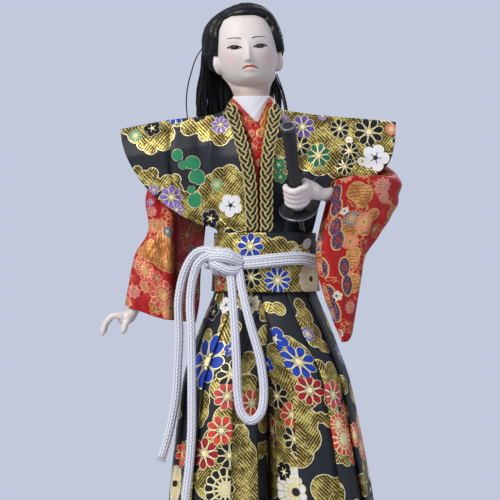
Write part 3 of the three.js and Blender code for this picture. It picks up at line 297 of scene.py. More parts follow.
def fuse(bm, voxel, rounds=4):
    """Melts the closed shapes of a bmesh into one smooth skin."""
    mesh = bpy.data.meshes.new("melting")
    bmesh.ops.recalc_face_normals(bm, faces=bm.faces)
    bm.to_mesh(mesh)
    bm.free()
    lump = bpy.data.objects.new("melting", mesh)
    bpy.context.scene.collection.objects.link(lump)
    melt = lump.modifiers.new("Melt", "REMESH")
    melt.mode = "VOXEL"
    melt.voxel_size = voxel * MM
    graph = bpy.context.evaluated_depsgraph_get()
    skin = bpy.data.meshes.new_from_object(lump.evaluated_get(graph))
    made = bmesh.new()
    made.from_mesh(skin)
    bpy.data.objects.remove(lump)
    bpy.data.meshes.remove(mesh)
    bpy.data.meshes.remove(skin)
    for _ in range(rounds):
        bmesh.ops.smooth_vert(made, verts=made.verts, factor=0.5, use_axis_x=True, use_axis_y=True,
                              use_axis_z=True)
    return made


def limb(bm, points, radii, sides=12, steps=14, flat=1.0, squeeze=(0, 0, 1), tip=0.82):
    """A rounded limb whose radius changes along its path, and whose section is stretched along squeeze."""
    frames = Path(points).frames(steps)
    squeeze = Vector(squeeze).normalized()

    def place(u, v):
        centre, side, rise = frames[round(v * steps)]
        spot = v * (len(radii) - 1)
        low = min(int(spot), len(radii) - 2)
        radius = mix(radii[low], radii[low + 1], spot - low)
        if v > tip:
            radius *= math.sqrt(max(1 - ((v - tip) / (1 - tip)) ** 2, 0.02))
        arm = side * (radius * math.cos(math.tau * u)) + rise * (radius * math.sin(math.tau * u))
        arm += squeeze * ((flat - 1) * arm.dot(squeeze))
        return centre + arm

    cloth_grid(bm, sides, steps, place, wrap=True, ends=True)


def turned(bm, profile, place, segments=48):
    """A turned shape: profile lists (along, radius), and place(along, radius, angle) puts it on its axis."""
    rows = len(profile) - 1

    def at(u, v):
        along, radius = profile[round(v * rows)]
        return place(along, radius, math.tau * u)

    cloth_grid(bm, segments, rows, at, wrap=True, ends=True)


CORD_COLUMNS = 8
STITCH_LENGTH = 1.9
STITCH_SLANT = 0.9
COLUMN_WIDTH = 10.0


def cord_tube(bm, path, radius, sides=32, pitch=0.42, plait=0.17, loop=False):
    """A round plaited cord along a path: columns of slanting stitches, every second one mirrored."""
    steps = max(int(path.length / pitch), 8)
    frames = path.frames(steps)
    gap = 0.0
    if loop:
        first, last = frames[0], frames[-1]
        gap = math.atan2(last[1].dot(first[2]), last[1].dot(first[1]))

    def place(u, v):
        centre, side, rise = frames[round(v * steps)]
        lane = math.floor(u * CORD_COLUMNS)
        w = u * CORD_COLUMNS - lane - 0.5
        slant = 0.5 - w * STITCH_SLANT if lane % 2 else w * STITCH_SLANT
        phase = v * path.length / STITCH_LENGTH + slant
        hill = (1 - (2 * w) ** 2) * 0.55 + 0.45 * (0.5 + 0.5 * math.cos(math.tau * phase))
        angle = math.tau * u - gap * v
        reach = radius * (1 - plait * (1 - hill))
        return centre + side * (reach * math.cos(angle)) + rise * (reach * math.sin(angle))

    cloth_grid(bm, sides, steps, place, lambda u, v, p: (u * CORD_COLUMNS * COLUMN_WIDTH, v * path.length),
               wrap=True, loop=loop, ends=not loop)


# Node tools: arithmetic on a Wire adds Math nodes to its finish

class Wire:
    def __init__(self, owner, socket):
        self.owner, self.socket = owner, socket

    def __add__(self, other):
        return self.owner.math("ADD", self, other)

    def __radd__(self, other):
        return self.owner.math("ADD", other, self)

    def __sub__(self, other):
        return self.owner.math("SUBTRACT", self, other)

    def __rsub__(self, other):
        return self.owner.math("SUBTRACT", other, self)

    def __mul__(self, other):
        return self.owner.math("MULTIPLY", self, other)

    def __rmul__(self, other):
        return self.owner.math("MULTIPLY", other, self)

    def __truediv__(self, other):
        return self.owner.math("DIVIDE", self, other)

    def __rtruediv__(self, other):
        return self.owner.math("DIVIDE", other, self)

    def __neg__(self):
        return self.owner.math("MULTIPLY", self, -1.0)


class Finish:
    """A material on the Principled shader, with short names for the nodes that feed it."""

    def __init__(self, name, **fixed):
        self.material = bpy.data.materials.new(name)
        self.material.use_nodes = True
        self.tree = self.material.node_tree
        self.shader = self.tree.nodes["Principled BSDF"]
        for socket, value in fixed.items():
            self.shader.inputs[socket.replace("_", " ")].default_value = value

    def node(self, kind, inputs, **settings):
        made = self.tree.nodes.new(kind)
        for key, value in settings.items():
            setattr(made, key, value)
        for key, value in inputs.items():
            if isinstance(value, Wire):
                self.tree.links.new(value.socket, made.inputs[key])
            elif value is not None:
                made.inputs[key].default_value = value
        return made

    def math(self, operation, *values):
        made = self.node("ShaderNodeMath", dict(enumerate(values)), operation=operation)
        return Wire(self, made.outputs[0])

    def most(self, first, second):
        return self.math("MAXIMUM", first, second)

    def least(self, first, second):
        return self.math("MINIMUM", first, second)

    def magnitude(self, value):
        return self.math("ABSOLUTE", value)

    def step(self, value, low, high):
        made = self.node("ShaderNodeMapRange", {"Value": value, "From Min": low, "From Max": high},
                         interpolation_type="SMOOTHSTEP")
        return Wire(self, made.outputs[0])

    def fall(self, value, low, high):
        return 1.0 - self.step(value, low, high)

    def tint(self, factor, first, second, blend="MIX"):
        first, second = (c if isinstance(c, Wire) else (*c, 1)[:4] for c in (first, second))
        made = self.node("ShaderNodeMix", {0: factor, 6: first, 7: second}, data_type="RGBA",
                         blend_type=blend)
        return Wire(self, made.outputs[2])

    def level(self, factor, first, second):
        made = self.node("ShaderNodeMix", {0: factor, 2: first, 3: second}, data_type="FLOAT")
        return Wire(self, made.outputs[0])

    def noise(self, vector, scale, detail=2.0, rough=0.5):
        made = self.node("ShaderNodeTexNoise", {"Vector": vector, "Scale": scale, "Detail": detail,
                                                "Roughness": rough})
        return Wire(self, made.outputs[0])

    def cells(self, vector, scale, feature="F1"):
        made = self.node("ShaderNodeTexVoronoi", {"Vector": vector, "Scale": scale}, feature=feature)
        return Wire(self, made.outputs[0])

    def place(self, scale=1000.0, move=(0, 0, 0), turn=(0, 0, 0), kind="POINT"):
        """Object coordinates, in millimetres unless scaled otherwise."""
        source = Wire(self, self.node("ShaderNodeTexCoord", {}).outputs["Object"])
        made = self.node("ShaderNodeMapping", {0: source, 1: move, 2: turn, 3: (scale,) * 3},
                         vector_type=kind)
        return Wire(self, made.outputs[0])

    def millimetres(self, vector):
        made = self.node("ShaderNodeVectorMath", {0: vector, 3: 1000.0}, operation="SCALE")
        return Wire(self, made.outputs[0])

    def cloth(self):
        """The cloth's own flat coordinates, in millimetres."""
        return self.millimetres(Wire(self, self.node("ShaderNodeUVMap", {}, uv_map="cloth").outputs[0]))

    def stretch(self, vector, scale):
        made = self.node("ShaderNodeMapping", {0: vector, 3: scale}, vector_type="POINT")
        return Wire(self, made.outputs[0])

    def apart(self, vector):
        made = self.node("ShaderNodeSeparateXYZ", {0: vector})
        return [Wire(self, made.outputs[k]) for k in range(3)]

    def attribute(self, name, output):
        return Wire(self, self.node("ShaderNodeAttribute", {}, attribute_name=name).outputs[output])

    def grey(self, colour_wire):
        return Wire(self, self.node("ShaderNodeRGBToBW", {0: colour_wire}).outputs[0])

    def feed(self, socket, value):
        self.tree.links.new(value.socket, self.shader.inputs[socket])

    def base(self, value):
        self.feed("Base Color", value)

    def relief(self, height, strength, distance):
        made = self.node("ShaderNodeBump",
                         {"Strength": strength, "Distance": distance * MM, "Height": height})
        self.feed("Normal", Wire(self, made.outputs[0]))


FINISHES = {}


def finish(name):
    """The material of that name, made when it is first asked for."""
    if name not in FINISHES:
        FINISHES[name] = FINISH_MAKERS[name](name)
    return FINISHES[name]


def ground_satin(f, flat, colours, scrolls):
    """Satin ground: painted sheen in soft streaks along the warp, and on parts of it fine scrolls of thread.
    """
    ground, sheen, outline = colours
    # Painted sheen: lighter streaks of the sheen colour along the warp
    sheen_streak = f.noise(f.stretch(flat, (3.0, 0.12, 1)), 1.0, 3.0)
    scroll = f.cells(f.stretch(flat, (0.42, 0.42, 1)), 1.0, "DISTANCE_TO_EDGE")
    scroll = f.fall(scroll, 0.03, 0.09) * f.step(f.noise(flat, 0.11, 1.0), 0.5, 0.56) * scrolls
    return sheen_streak, f.tint(scroll, f.tint(sheen_streak, ground, sheen), outline)


def metal_clouds(f, flat, glint, colours, slope):
    """Slanting metal threads in two directions, which come out bright or dull by patches, with painted
    glints.
    """
    thread_light, thread_dark, outline = colours
    u, v, _ = f.apart(flat)
    patch = f.step(f.noise(flat, 0.07, 0.0), 0.47, 0.49)
    lean = f.level(patch, v * slope - u, v * slope + u * 0.8)
    mood = f.step(f.noise(flat, 0.16, 2.0, 0.6), 0.36, 0.66)
    rows = f.math("SINE", lean * (math.tau / 1.5))
    knots = f.math("SINE", (u * 0.7 + v * 0.9) * (math.tau / 2.3) + rows * 0.8)
    lines = f.step(rows + glint * 3.2 - 1.6 + mood * 1.2 - 0.45, -0.50, 0.45)
    flecks = f.step(knots + glint * 1.4, -0.5, 0.6)
    # Painted glints: a brighter copy of the thread colour where the glint noise is high, and sparks of the
    # outline colour
    lit = tuple(min(1.0, c * 1.9 + 0.05) for c in thread_light)
    bright = f.tint(f.step(glint + mood * 0.12, 0.42, 0.72), thread_light, lit)
    bright = f.tint(mood, f.tint(0.38, bright, thread_dark), bright)
    bright = f.tint(f.step(glint, 0.56, 0.70) * 0.8, bright, outline)
    return lines, f.tint(lines * f.level(0.5, 1.0, flecks), thread_dark, bright)


def flower_parts(f, lx, ly, kind):
    """Where a flower's petals, lines and middle lie, in its own round coordinates.

    kind is its number of petals: up to 6 they are joined, from 7 parted, from 12 laced with ribs, and from 19
    the flower is one lens with a dark inside.
    """
    r = f.math("SQRT", lx * lx + ly * ly)
    a = f.math("ARCTAN2", ly, lx)
    petals = f.most(kind, 1.0)
    wave = f.magnitude(f.math("COSINE", a * kind * 0.5))
    half = f.magnitude(f.math("SINE", a * kind * 0.5))
    deep = f.least(1.75 / petals, 0.5)
    edge = 1.0 - deep * (1.0 - f.math("POWER", wave, 0.6))
    parted = f.step(kind, 6.5, 7.5)
    crowd = f.step(kind, 11.0, 11.5)
    lensed = f.step(kind, 18.0, 19.0)
    off_axis = f.math("ARCCOSINE", f.least(wave, 1.0)) * 2.0 / petals * r
    outward = f.math("POWER", f.most((r - 0.12) / 0.88, 0.0), 1.8)
    lens = f.math("POWER", f.most(f.math("SINE", outward * math.pi), 0.0), 0.6)
    slim = f.least(lens * 2.2 / petals - off_axis, 1.0 - r)
    room = f.level(parted * (1.0 - crowd), edge - r, slim)
    core = f.fall(r, 0.17, 0.19) * parted
    bloom = f.most(f.step(room, -0.010, 0.010), core)
    rim = bloom * f.fall(room, 0.045, 0.07) * (1.0 - core)
    rim = f.most(rim, bloom * f.fall(room, 0.15, 0.20) * lensed)
    ribs = f.fall(r * wave * 2.0 / petals, 0.028, 0.05) * crowd * (1.0 - lensed)
    stamens = f.fall(off_axis, 0.022, 0.04) * f.fall(r, 0.40, 0.46) * (1.0 - parted)
    outer_lace = f.fall(f.magnitude(r - edge * 0.62 * f.level(0.8, 1.0, 0.8 + half * 0.2)), 0.02, 0.045)
    inner_lace = f.fall(f.magnitude(r - 0.33 * (0.85 + wave * 0.15)), 0.02, 0.045)
    lace = f.most(outer_lace, inner_lace) * crowd * (1.0 - lensed)
    heart = f.fall(r, 0.15, 0.19) * (1.0 - lensed)
    drawn = f.most(f.most(rim, ribs), lace) * bloom
    middle = f.most(heart, stamens) * bloom * f.step(kind, 1.2, 1.8)
    shaded = parted * (1.0 - crowd) * f.fall(r, 0.30, 0.62) * 0.6
    return {"r": r, "bloom": bloom, "drawn": drawn, "middle": middle, "shaded": shaded, "lensed": lensed}


def make_brocade(name, ground, ground_sheen, thread_light, thread_dark, outline, slope, scrolls=0.0):
    """Satin with woven metal clouds and flowers. The cloth carries where they lie in its attributes."""
    f = Finish(name, Specular_IOR_Level=0.3)
    flat = f.cloth()
    u, v, _ = f.apart(flat)
    petal, pale = f.attribute("petal", "Color"), f.attribute("petal", "Alpha")
    # Fine noise that places the painted glints; it also shapes the threads, their roughness and their relief
    glint = f.noise(flat, 1.7, 2.0, 0.7)
    sheen_streak, surface = ground_satin(f, flat, (ground, ground_sheen, outline), scrolls)
    lines, metal = metal_clouds(f, flat, glint, (thread_light, thread_dark, outline), slope)
    cloud = f.attribute("cloud", "Fac")
    inside = f.step(cloud, -0.06, 0.06)
    metal = f.tint(inside * f.fall(cloud, 0.36, 0.52), metal, outline)
    surface = f.tint(inside, surface, metal)
    flower = flower_parts(f, *f.apart(f.attribute("bloom", "Vector")))
    bloom, drawn = flower["bloom"], flower["drawn"]
    # Painted sheen: lighter streaks over the satin of each petal
    satin = f.tint(f.noise(f.stretch(flat, (2.2, 0.5, 1)), 1.0, 2.0), petal, (1, 1, 1), "OVERLAY")
    satin = f.tint(flower["shaded"], f.tint(0.35, petal, satin), (0.010, 0.010, 0.030))
    inner = f.tint(f.step(flower["r"], 0.25, 0.45), (0.30, 0.012, 0.030), (0.045, 0.020, 0.110))
    # Painted glints of the outline colour on the lens flowers
    satin = f.tint(flower["lensed"], satin, f.tint(f.step(glint, 0.55, 0.62) * 0.7, inner, outline))
    satin = f.tint(drawn, satin, f.tint(pale, outline, (0.72, 0.74, 0.80)))
    middle = f.tint(f.step(f.grey(petal), 0.25, 0.35), outline, (0.03, 0.03, 0.035))
    surface = f.tint(bloom, surface, f.tint(flower["middle"], satin, middle))
    if scrolls:
        # Painted shadow: the recess of the right sleeve is darkened where it lies in shade
        x, _, _ = f.apart(f.place())
        painted_recess_shadow = f.step(x, -47.8, -44.5) * f.fall(x, -26.0, -22.0)
        surface = f.tint(painted_recess_shadow * 0.72, surface, (0.030, 0.006, 0.008))
    f.base(surface)
    shine = f.most(inside * (1.0 - bloom), drawn * (1.0 - pale))
    f.feed("Metallic", shine * 0.45)
    f.feed("Roughness", f.level(shine, f.level(sheen_streak, 0.50, 0.36), f.level(glint, 0.22, 0.46)))
    metal = inside * (0.25 + lines * 0.5 + glint * 0.3) * (1.0 - bloom)
    height = f.most(metal, bloom * (0.75 + drawn * 0.25))
    weave = f.math("SINE", u * (math.tau / 0.34)) * 0.05 + f.math("SINE", v * (math.tau / 0.42)) * 0.05
    f.relief(height + weave, 0.85, 0.22)
    return f.material


def black_brocade(name):
    c = tints()
    return make_brocade(name, c.black, (0.026, 0.030, 0.040), c.gold, (0.060, 0.040, 0.008),
                        (1.0, 0.89, 0.50), slope=0.75)


def red_brocade(name):
    c = tints()
    return make_brocade(name, c.red, (0.50, 0.012, 0.012), c.copper, (0.46, 0.150, 0.040), (0.82, 0.46, 0.18),
                        slope=0.05, scrolls=0.6)


BLUSH = (0.83, 0.735, 0.705)


def skin_vinyl(name):
    """Smooth vinyl, a little mottled."""
    f = Finish(name, Roughness=0.38, Specular_IOR_Level=0.42, Subsurface_Weight=0.06, Subsurface_Scale=0.004,
               Coat_Weight=0.08, Coat_Roughness=0.3)
    place = f.place()
    f.base(f.tint(f.noise(place, 0.09, 2.0), tints().skin, BLUSH))
    f.feed("Roughness", f.level(f.noise(place, 0.8, 3.0), 0.33, 0.45))
    f.relief(f.noise(place, 2.4, 3.0), 0.08, 0.05)
    return f.material


HEAD_CENTRE = (-9.3, -1.5, 290.8)
HEAD_SLANT = 0.06


def head_matrix():
    """The head's own frame, in millimetres: centred between the ears, looking along -Y, a little slanted."""
    s = sizes()
    slant = Matrix.Identity(4)
    slant[0][2] = -HEAD_SLANT
    return (Matrix.Translation(HEAD_CENTRE) @ Matrix.Rotation(s.head_yaw, 4, "Z")
            @ Matrix.Rotation(-s.head_roll, 4, "Y") @ Matrix.Rotation(s.head_pitch, 4, "X") @ slant)


def soft_spot(f, value, width):
    return f.math("EXPONENT", -(value * value / (width * width)))


def distance_from(f, x, z):
    return f.math("SQRT", x * x + z * z)


def paint_eyes(f, skin, x, z, side, front):
    """Almond eyes, a little higher outside, with lashes, a painted highlight in each iris and painted shade
    along the crease above.
    """
    ex = (side - 6.35) / 3.5
    ez = z + 1.45 - (side - 6.35) * 0.05
    flank = 1.0 - ex * ex
    open_eye = f.most(flank, 0.0)
    upper = open_eye * 1.05 - 0.05
    lower = open_eye * -0.78
    eye = f.step(ez, lower - 0.05, lower + 0.08) * f.fall(ez, upper - 0.08, upper + 0.06)
    eye = eye * f.step(flank, 0.0, 0.05) * front
    from_iris = distance_from(f, side - 6.2, ez - 0.15)
    from_glint = distance_from(f, x - f.level(f.step(x, -0.5, 0.5), -6.7, 5.8), ez - 0.55)
    skin = f.tint(eye, skin, (0.44, 0.38, 0.42))
    skin = f.tint(f.fall(from_iris, 1.85, 2.1) * eye, skin, (0.020, 0.009, 0.008))
    skin = f.tint(f.fall(from_iris, 0.95, 1.15) * eye, skin, (0.004, 0.003, 0.004))
    # Painted highlight: a small white glint in each iris
    skin = f.tint(f.fall(from_glint, 0.16, 0.28) * eye, skin, (0.75, 0.75, 0.8))
    lash = soft_spot(f, ez - upper, 0.44) * f.step(flank, -0.16, 0.04) * front
    skin = f.tint(f.step(lash, 0.25, 0.6), skin, (0.012, 0.008, 0.009))
    under = soft_spot(f, ez - lower, 0.16) * f.step(flank, 0.0, 0.2) * front
    skin = f.tint(under * 0.75, skin, (0.12, 0.07, 0.08))
    # Painted shade along the lid crease above the eye
    crease = soft_spot(f, ez - upper - 1.15, 0.2) * f.step(flank, -0.1, 0.3) * front
    return eye, f.tint(crease * 0.35, skin, (0.50, 0.33, 0.27))


def paint_brows(f, skin, z, side, front):
    """Thin strokes, tapered outside."""
    bx = side - 6.0
    arch = 3.35 + bx * 0.05 - bx * bx * 0.035
    stroke = f.level(f.step(bx, -3.4, 3.6), 0.36, 0.20)
    brow = f.fall(f.magnitude(z - arch) / stroke, 0.55, 1.25) * f.fall(f.magnitude(bx), 3.1, 3.7)
    return f.tint(brow * front * 0.94, skin, (0.022, 0.014, 0.018))


def paint_lips(f, skin, x, z, side, front):
    """A bow drawn down at its corners, over a pale lower lip."""
    bow = -9.95 - x * x * 0.125 - soft_spot(f, x, 0.8) * 0.35
    below = -11.15 - x * x * 0.072 + soft_spot(f, x, 1.0) * 0.1
    lip = f.step(z, below - 0.16, below + 0.16) * f.fall(z, bow - 0.12, bow + 0.14)
    lip = lip * f.fall(side, 3.8, 4.15) * front
    skin = f.tint(lip, skin, f.tint(f.step(side, 1.8, 3.4), (0.74, 0.060, 0.030), (0.14, 0.018, 0.022)))
    pout = soft_spot(f, z + 12.5 + x * x * 0.05, 0.7) * f.fall(side, 1.8, 3.4) * front
    return lip, f.tint(pout * 0.35, skin, (0.85, 0.50, 0.45))


def painted_face(name):
    """The vinyl of the head with its painted brows, eyes, lips and cheeks, and a painted shadow under the
    chin.
    """
    f = Finish(name, Specular_IOR_Level=0.34, Subsurface_Weight=0.06, Subsurface_Scale=0.004)
    s = sizes()
    turn = (s.head_pitch, -s.head_roll, s.head_yaw)
    x, y, z = f.apart(f.millimetres(f.place(1.0, tuple(c * MM for c in HEAD_CENTRE), turn, "TEXTURE")))
    x = x + z * HEAD_SLANT
    front = f.step(y, -4.0, -7.0)
    side = f.magnitude(x)
    skin = f.tint(f.noise(f.place(), 0.09, 2.0), tints().skin, BLUSH)
    cheeks = soft_spot(f, side - 9.2, 3.4) * soft_spot(f, z + 6.0, 4.2) * front
    skin = f.tint(cheeks * 0.30, skin, (0.80, 0.44, 0.46))
    lids = soft_spot(f, side - 6.4, 3.4) * soft_spot(f, z - 0.7, 0.9) * front
    skin = f.tint(lids * 0.25, skin, (0.72, 0.50, 0.46))
    eye, skin = paint_eyes(f, skin, x, z, side, front)
    skin = paint_brows(f, skin, z, side, front)
    lip, skin = paint_lips(f, skin, x, z, side, front)
    # Painted shadow: brown shade on the neck under the chin
    painted_chin_shadow = soft_spot(f, z + 23.5, 4.6) * f.step(y, 4.0, -3.0)
    skin = f.tint(painted_chin_shadow * 0.75, skin, (0.42, 0.29, 0.23))
    parting = soft_spot(f, x - 0.2, 0.16) * f.step(z, 10.0, 11.5) * front
    skin = f.tint(parting * 0.35, skin, (0.25, 0.20, 0.20))
    hairline = f.step(z, 12.3, 14.4) * front
    f.base(f.tint(hairline * 0.30, skin, (0.30, 0.26, 0.27)))
    f.feed("Roughness", f.level(f.most(eye, lip), f.level(f.noise(f.place(), 0.8, 3.0), 0.46, 0.58), 0.18))
    f.relief(f.noise(f.place(), 2.4, 3.0), 0.06, 0.05)
    return f.material


def hair_fibre(name):
    """Straight black fibre: fine streaks along each lock, the lighter ones a painted sheen."""
    f = Finish(name, Roughness=0.34, Specular_IOR_Level=0.32, Anisotropic=0.5)
    u, v, _ = f.apart(f.cloth())
    made = f.node("ShaderNodeCombineXYZ", {0: u * 2.6, 1: v * 0.03})
    strands = f.noise(Wire(f, made.outputs[0]), 1.0, 4.0, 0.65)
    # Painted sheen: lighter bluish streaks along the strands
    f.base(f.tint(f.step(strands, 0.45, 0.75), tints().hair, (0.022, 0.024, 0.030)))
    f.feed("Roughness", f.level(strands, 0.26, 0.5))
    f.relief(strands, 0.6, 0.12)
    return f.material


def white_cord(name):
    """Plaited cotton: slanting stitches in columns, with painted shade between them."""
    f = Finish(name, Roughness=0.75, Sheen_Weight=0.25, Sheen_Roughness=0.45)
    u, v, _ = f.apart(f.cloth())
    column = u / COLUMN_WIDTH
    lane = f.math("FLOOR", column)
    w = column - lane - 0.5
    odd = f.math("FLOORED_MODULO", lane, 2.0)
    phase = v / STITCH_LENGTH + f.level(odd, w * STITCH_SLANT, 0.5 - w * STITCH_SLANT)
    stitch = f.math("COSINE", phase * math.tau) * 0.5 + 0.5
    hill = (1.0 - w * w * 4.0) * 0.55 + stitch * 0.45
    fibres = f.noise(f.stretch(f.cloth(), (0.9, 5.0, 1)), 1.0, 3.0, 0.6)
    # Painted shade: bluish grey in the grooves between the stitches
    shade = f.step(hill, 0.10, 0.66)
    f.base(f.tint(shade * (0.85 + fibres * 0.15), (0.22, 0.24, 0.40), tints().white))
    f.relief(hill + fibres * 0.22, 0.9, 0.32)
    return f.material


def white_cloth(name):
    """Plain white cotton with a fine weave."""
    f = Finish(name, Roughness=0.8, Sheen_Weight=0.2, Sheen_Roughness=0.5)
    x, y, z = f.apart(f.place())
    weave = f.math("SINE", (x + y) * 16.0) * f.math("SINE", (z + y * 0.3) * 16.0)
    soft = f.noise(f.place(), 0.35, 3.0)
    f.base(f.tint(weave * 0.15 + soft * 0.5, tints().linen, (0.62, 0.63, 0.72)))
    f.relief(weave * 0.4 + soft, 0.4, 0.08)
    return f.material


def thread(name, bright, dark, metallic, rough):
    """Twisted silk or metal thread, worn in places, with painted light on the ridges of its twist and painted
    shade in its grooves.
    """
    f = Finish(name, Metallic=metallic, Specular_IOR_Level=0.5)
    u, v, _ = f.apart(f.cloth())
    twist = f.math("SINE", (v / 0.62 + u / 10.0) * math.tau)
    wear = f.noise(f.cloth(), 0.6, 2.0)
    # Painted light and shade: the bright colour on the ridges of the twist, the dark one in its grooves
    f.base(f.tint(f.step(twist + wear - 0.5, -0.7, 0.6), dark, bright))
    f.feed("Roughness", f.level(wear, rough, rough + 0.22))
    f.relief(twist, 0.7, 0.12)
    return f.material


def gold_thread(name):
    return thread(name, (1.0, 0.88, 0.40), (0.30, 0.21, 0.05), 0.30, 0.20)


def black_thread(name):
    return thread(name, (0.016, 0.013, 0.011), (0.004, 0.003, 0.003), 0.0, 0.42)


def lacquer_finish(name, colour_value, rough, scratch):
    """Deep lacquer: a soft ripple, fine dust marks and duller rubbed spots."""
    f = Finish(name, Specular_IOR_Level=0.6, Coat_Weight=0.5, Coat_Roughness=0.08)
    place = f.place()
    ripple = f.noise(place, 0.12, 2.0)
    marks = f.noise(f.stretch(place, (0.25, 3.0, 0.25)), 1.0, 4.0, 0.7)
    rubbed = f.step(f.noise(place, 0.35, 4.0, 0.6), 0.5, 0.85)
    f.base(f.tint(rubbed * 0.5, colour_value, tuple(c * 2.4 + 0.01 for c in colour_value)))
    f.feed("Roughness", f.level(marks, rough, rough + 0.16))
    f.relief(ripple * 0.6 + marks * scratch, 0.25, 0.1)
    return f.material


def lacquer(name):
    return lacquer_finish(name, tuple(tints().lacquer), 0.16, 0.05)


def black_lacquer(name):
    return lacquer_finish(name, (0.009, 0.009, 0.011), 0.22, 0.10)


# Lighter grey lacquer on the rims of the guard and pommel: partly their own colour, partly a painted
# highlight
def rim_lacquer(name):
    return lacquer_finish(name, (0.15, 0.15, 0.17), 0.25, 0.05)


def hilt_wrap(name):
    """Ribbed black wrapping of the hilt."""
    f = Finish(name, Roughness=0.5, Specular_IOR_Level=0.45)
    _, v, _ = f.apart(f.cloth())
    weave = f.math("SINE", v * (math.tau / 0.6))
    wear = f.noise(f.cloth(), 0.4, 3.0)
    f.base(f.tint(f.step(weave + wear, 0.0, 1.4), (0.010, 0.009, 0.011), (0.045, 0.043, 0.048)))
    f.feed("Roughness", f.level(wear, 0.38, 0.6))
    f.relief(weave, 0.5, 0.1)
    return f.material


def turned_wood(name):
    """Turned softwood: long grain and fine dark pores."""
    f = Finish(name, Roughness=0.62, Specular_IOR_Level=0.35)
    place = f.place()
    grain = f.noise(f.stretch(place, (1.4, 1.4, 0.08)), 1.0, 4.0, 0.6)
    pores = f.step(f.noise(f.stretch(place, (6.0, 6.0, 0.5)), 1.0, 2.0), 0.58, 0.7)
    f.base(f.tint(pores * 0.6, f.tint(grain, (0.50, 0.32, 0.15), (0.66, 0.46, 0.25)), (0.26, 0.15, 0.07)))
    f.relief(grain + pores * -0.5, 0.3, 0.1)
    return f.material


def foam(name):
    """Yellowed foam with open pores."""
    f = Finish(name, Roughness=0.95, Specular_IOR_Level=0.2)
    place = f.place()
    pits = f.cells(place, 0.9)
    tone = f.tint(f.noise(place, 0.2, 3.0), (0.66, 0.62, 0.46), (0.72, 0.68, 0.54))
    f.base(f.tint(f.step(pits, 0.1, 0.6), (0.44, 0.40, 0.28), tone))
    f.relief(pits, 0.6, 0.3)
    return f.material


def wadding(name):
    """Loose fibre wadding."""
    f = Finish(name, Roughness=0.95, Specular_IOR_Level=0.15, Sheen_Weight=0.4)
    place = f.place()
    tufts = f.noise(place, 0.55, 5.0, 0.75)
    fibres = f.noise(f.stretch(place, (4.0, 0.7, 0.7)), 1.0, 4.0, 0.7)
    f.base(f.tint(tufts, (0.60, 0.59, 0.55), (0.80, 0.79, 0.75)))
    f.relief(tufts + fibres * 0.5, 0.9, 0.5)
    return f.material


def straw(name):
    """Plaited rush: slanting strips in alternate rows."""
    f = Finish(name, Roughness=0.7, Specular_IOR_Level=0.35)
    place = f.place()
    x, y, _ = f.apart(place)
    row = f.math("FLOORED_MODULO", f.math("FLOOR", y / 1.4), 2.0)
    strips = f.math("SINE", (x * f.level(row, 1.0, -1.0) + y) * (math.tau / 0.9))
    tone = f.noise(place, 0.5, 3.0)
    c = tuple(tints().straw)
    dark = tuple(v * 0.45 for v in c)
    f.base(f.tint(f.step(strips + tone, -0.4, 0.9), dark, f.tint(tone, c, (0.66, 0.52, 0.27))))
    f.relief(strips + f.math("SINE", y * (math.tau / 1.4)), 0.8, 0.2)
    return f.material


def strap_velvet(name):
    f = Finish(name, Roughness=0.9, Specular_IOR_Level=0.25, Sheen_Weight=0.7, Sheen_Roughness=0.35)
    nap = f.noise(f.place(), 3.0, 3.0, 0.7)
    f.base(f.tint(nap, (0.020, 0.004, 0.006), (0.060, 0.010, 0.014)))
    f.relief(nap, 0.5, 0.1)
    return f.material


def metal_finish(name, bright, dark, rough, stretch):
    f = Finish(name, Metallic=1.0)
    place = f.place()
    brush = f.noise(f.stretch(place, stretch), 1.0, 4.0, 0.65)
    stain = f.step(f.noise(place, 0.3, 4.0, 0.6), 0.5, 0.8)
    f.base(f.tint(stain * 0.6, f.tint(brush, bright, tuple(c * 0.8 for c in bright)), dark))
    f.feed("Roughness", f.level(brush, rough, rough + 0.2))
    f.relief(brush, 0.25, 0.05)
    return f.material


def wire_metal(name):
    return metal_finish(name, (0.55, 0.56, 0.58), (0.25, 0.22, 0.18), 0.28, (2, 2, 2))


def dull_metal(name):
    return metal_finish(name, (0.42, 0.41, 0.40), (0.10, 0.09, 0.08), 0.34, (3, 3, 0.6))


def blade_steel(name):
    return metal_finish(name, (0.62, 0.63, 0.66), (0.40, 0.41, 0.44), 0.16, (0.6, 0.6, 6))


FINISH_MAKERS = {maker.__name__: maker for maker in (
    black_brocade, red_brocade, skin_vinyl, painted_face, hair_fibre, white_cord, white_cloth, gold_thread,
    black_thread, lacquer, black_lacquer, rim_lacquer, hilt_wrap, turned_wood, foam, wadding, straw,
    strap_velvet, wire_metal, dull_metal, blade_steel)}


# The doll's measures in millimetres, as the solids have them

NECK_LEAN = -6.5
BODY = ((148, 19, 15), (164, 19, 15), (182.5, 18, 14.5), (201, 19.5, 14.5), (234.8, 22, 15.5),
        (248.2, 19.8, 12.4), (252, 14.2, 11.2))
SWORD_UP = Vector((-math.sin(math.radians(9)) * math.cos(math.radians(40)), -math.sin(math.radians(40)),
                   math.cos(math.radians(9)) * math.cos(math.radians(40))))
SWORD_SIDE = Vector((0, 1, 0)).cross(SWORD_UP).normalized()
SWORD_BACK = SWORD_UP.cross(SWORD_SIDE).normalized()
GUARD = Vector((16, -22.5, 208.7))


def on_sword(along, side=0.0, back=0.0):
    return GUARD + SWORD_UP * along + SWORD_SIDE * side + SWORD_BACK * back


def round_sword(along, radius, angle):
    return on_sword(along, radius * math.cos(angle), radius * math.sin(angle))


def lean_at(z):
    return NECK_LEAN * clamp((z - 170) / 88)


def body_at(z):
    levels, widths, depths = zip(*BODY)
    return float(np.interp(z, levels, widths)), float(np.interp(z, levels, depths))


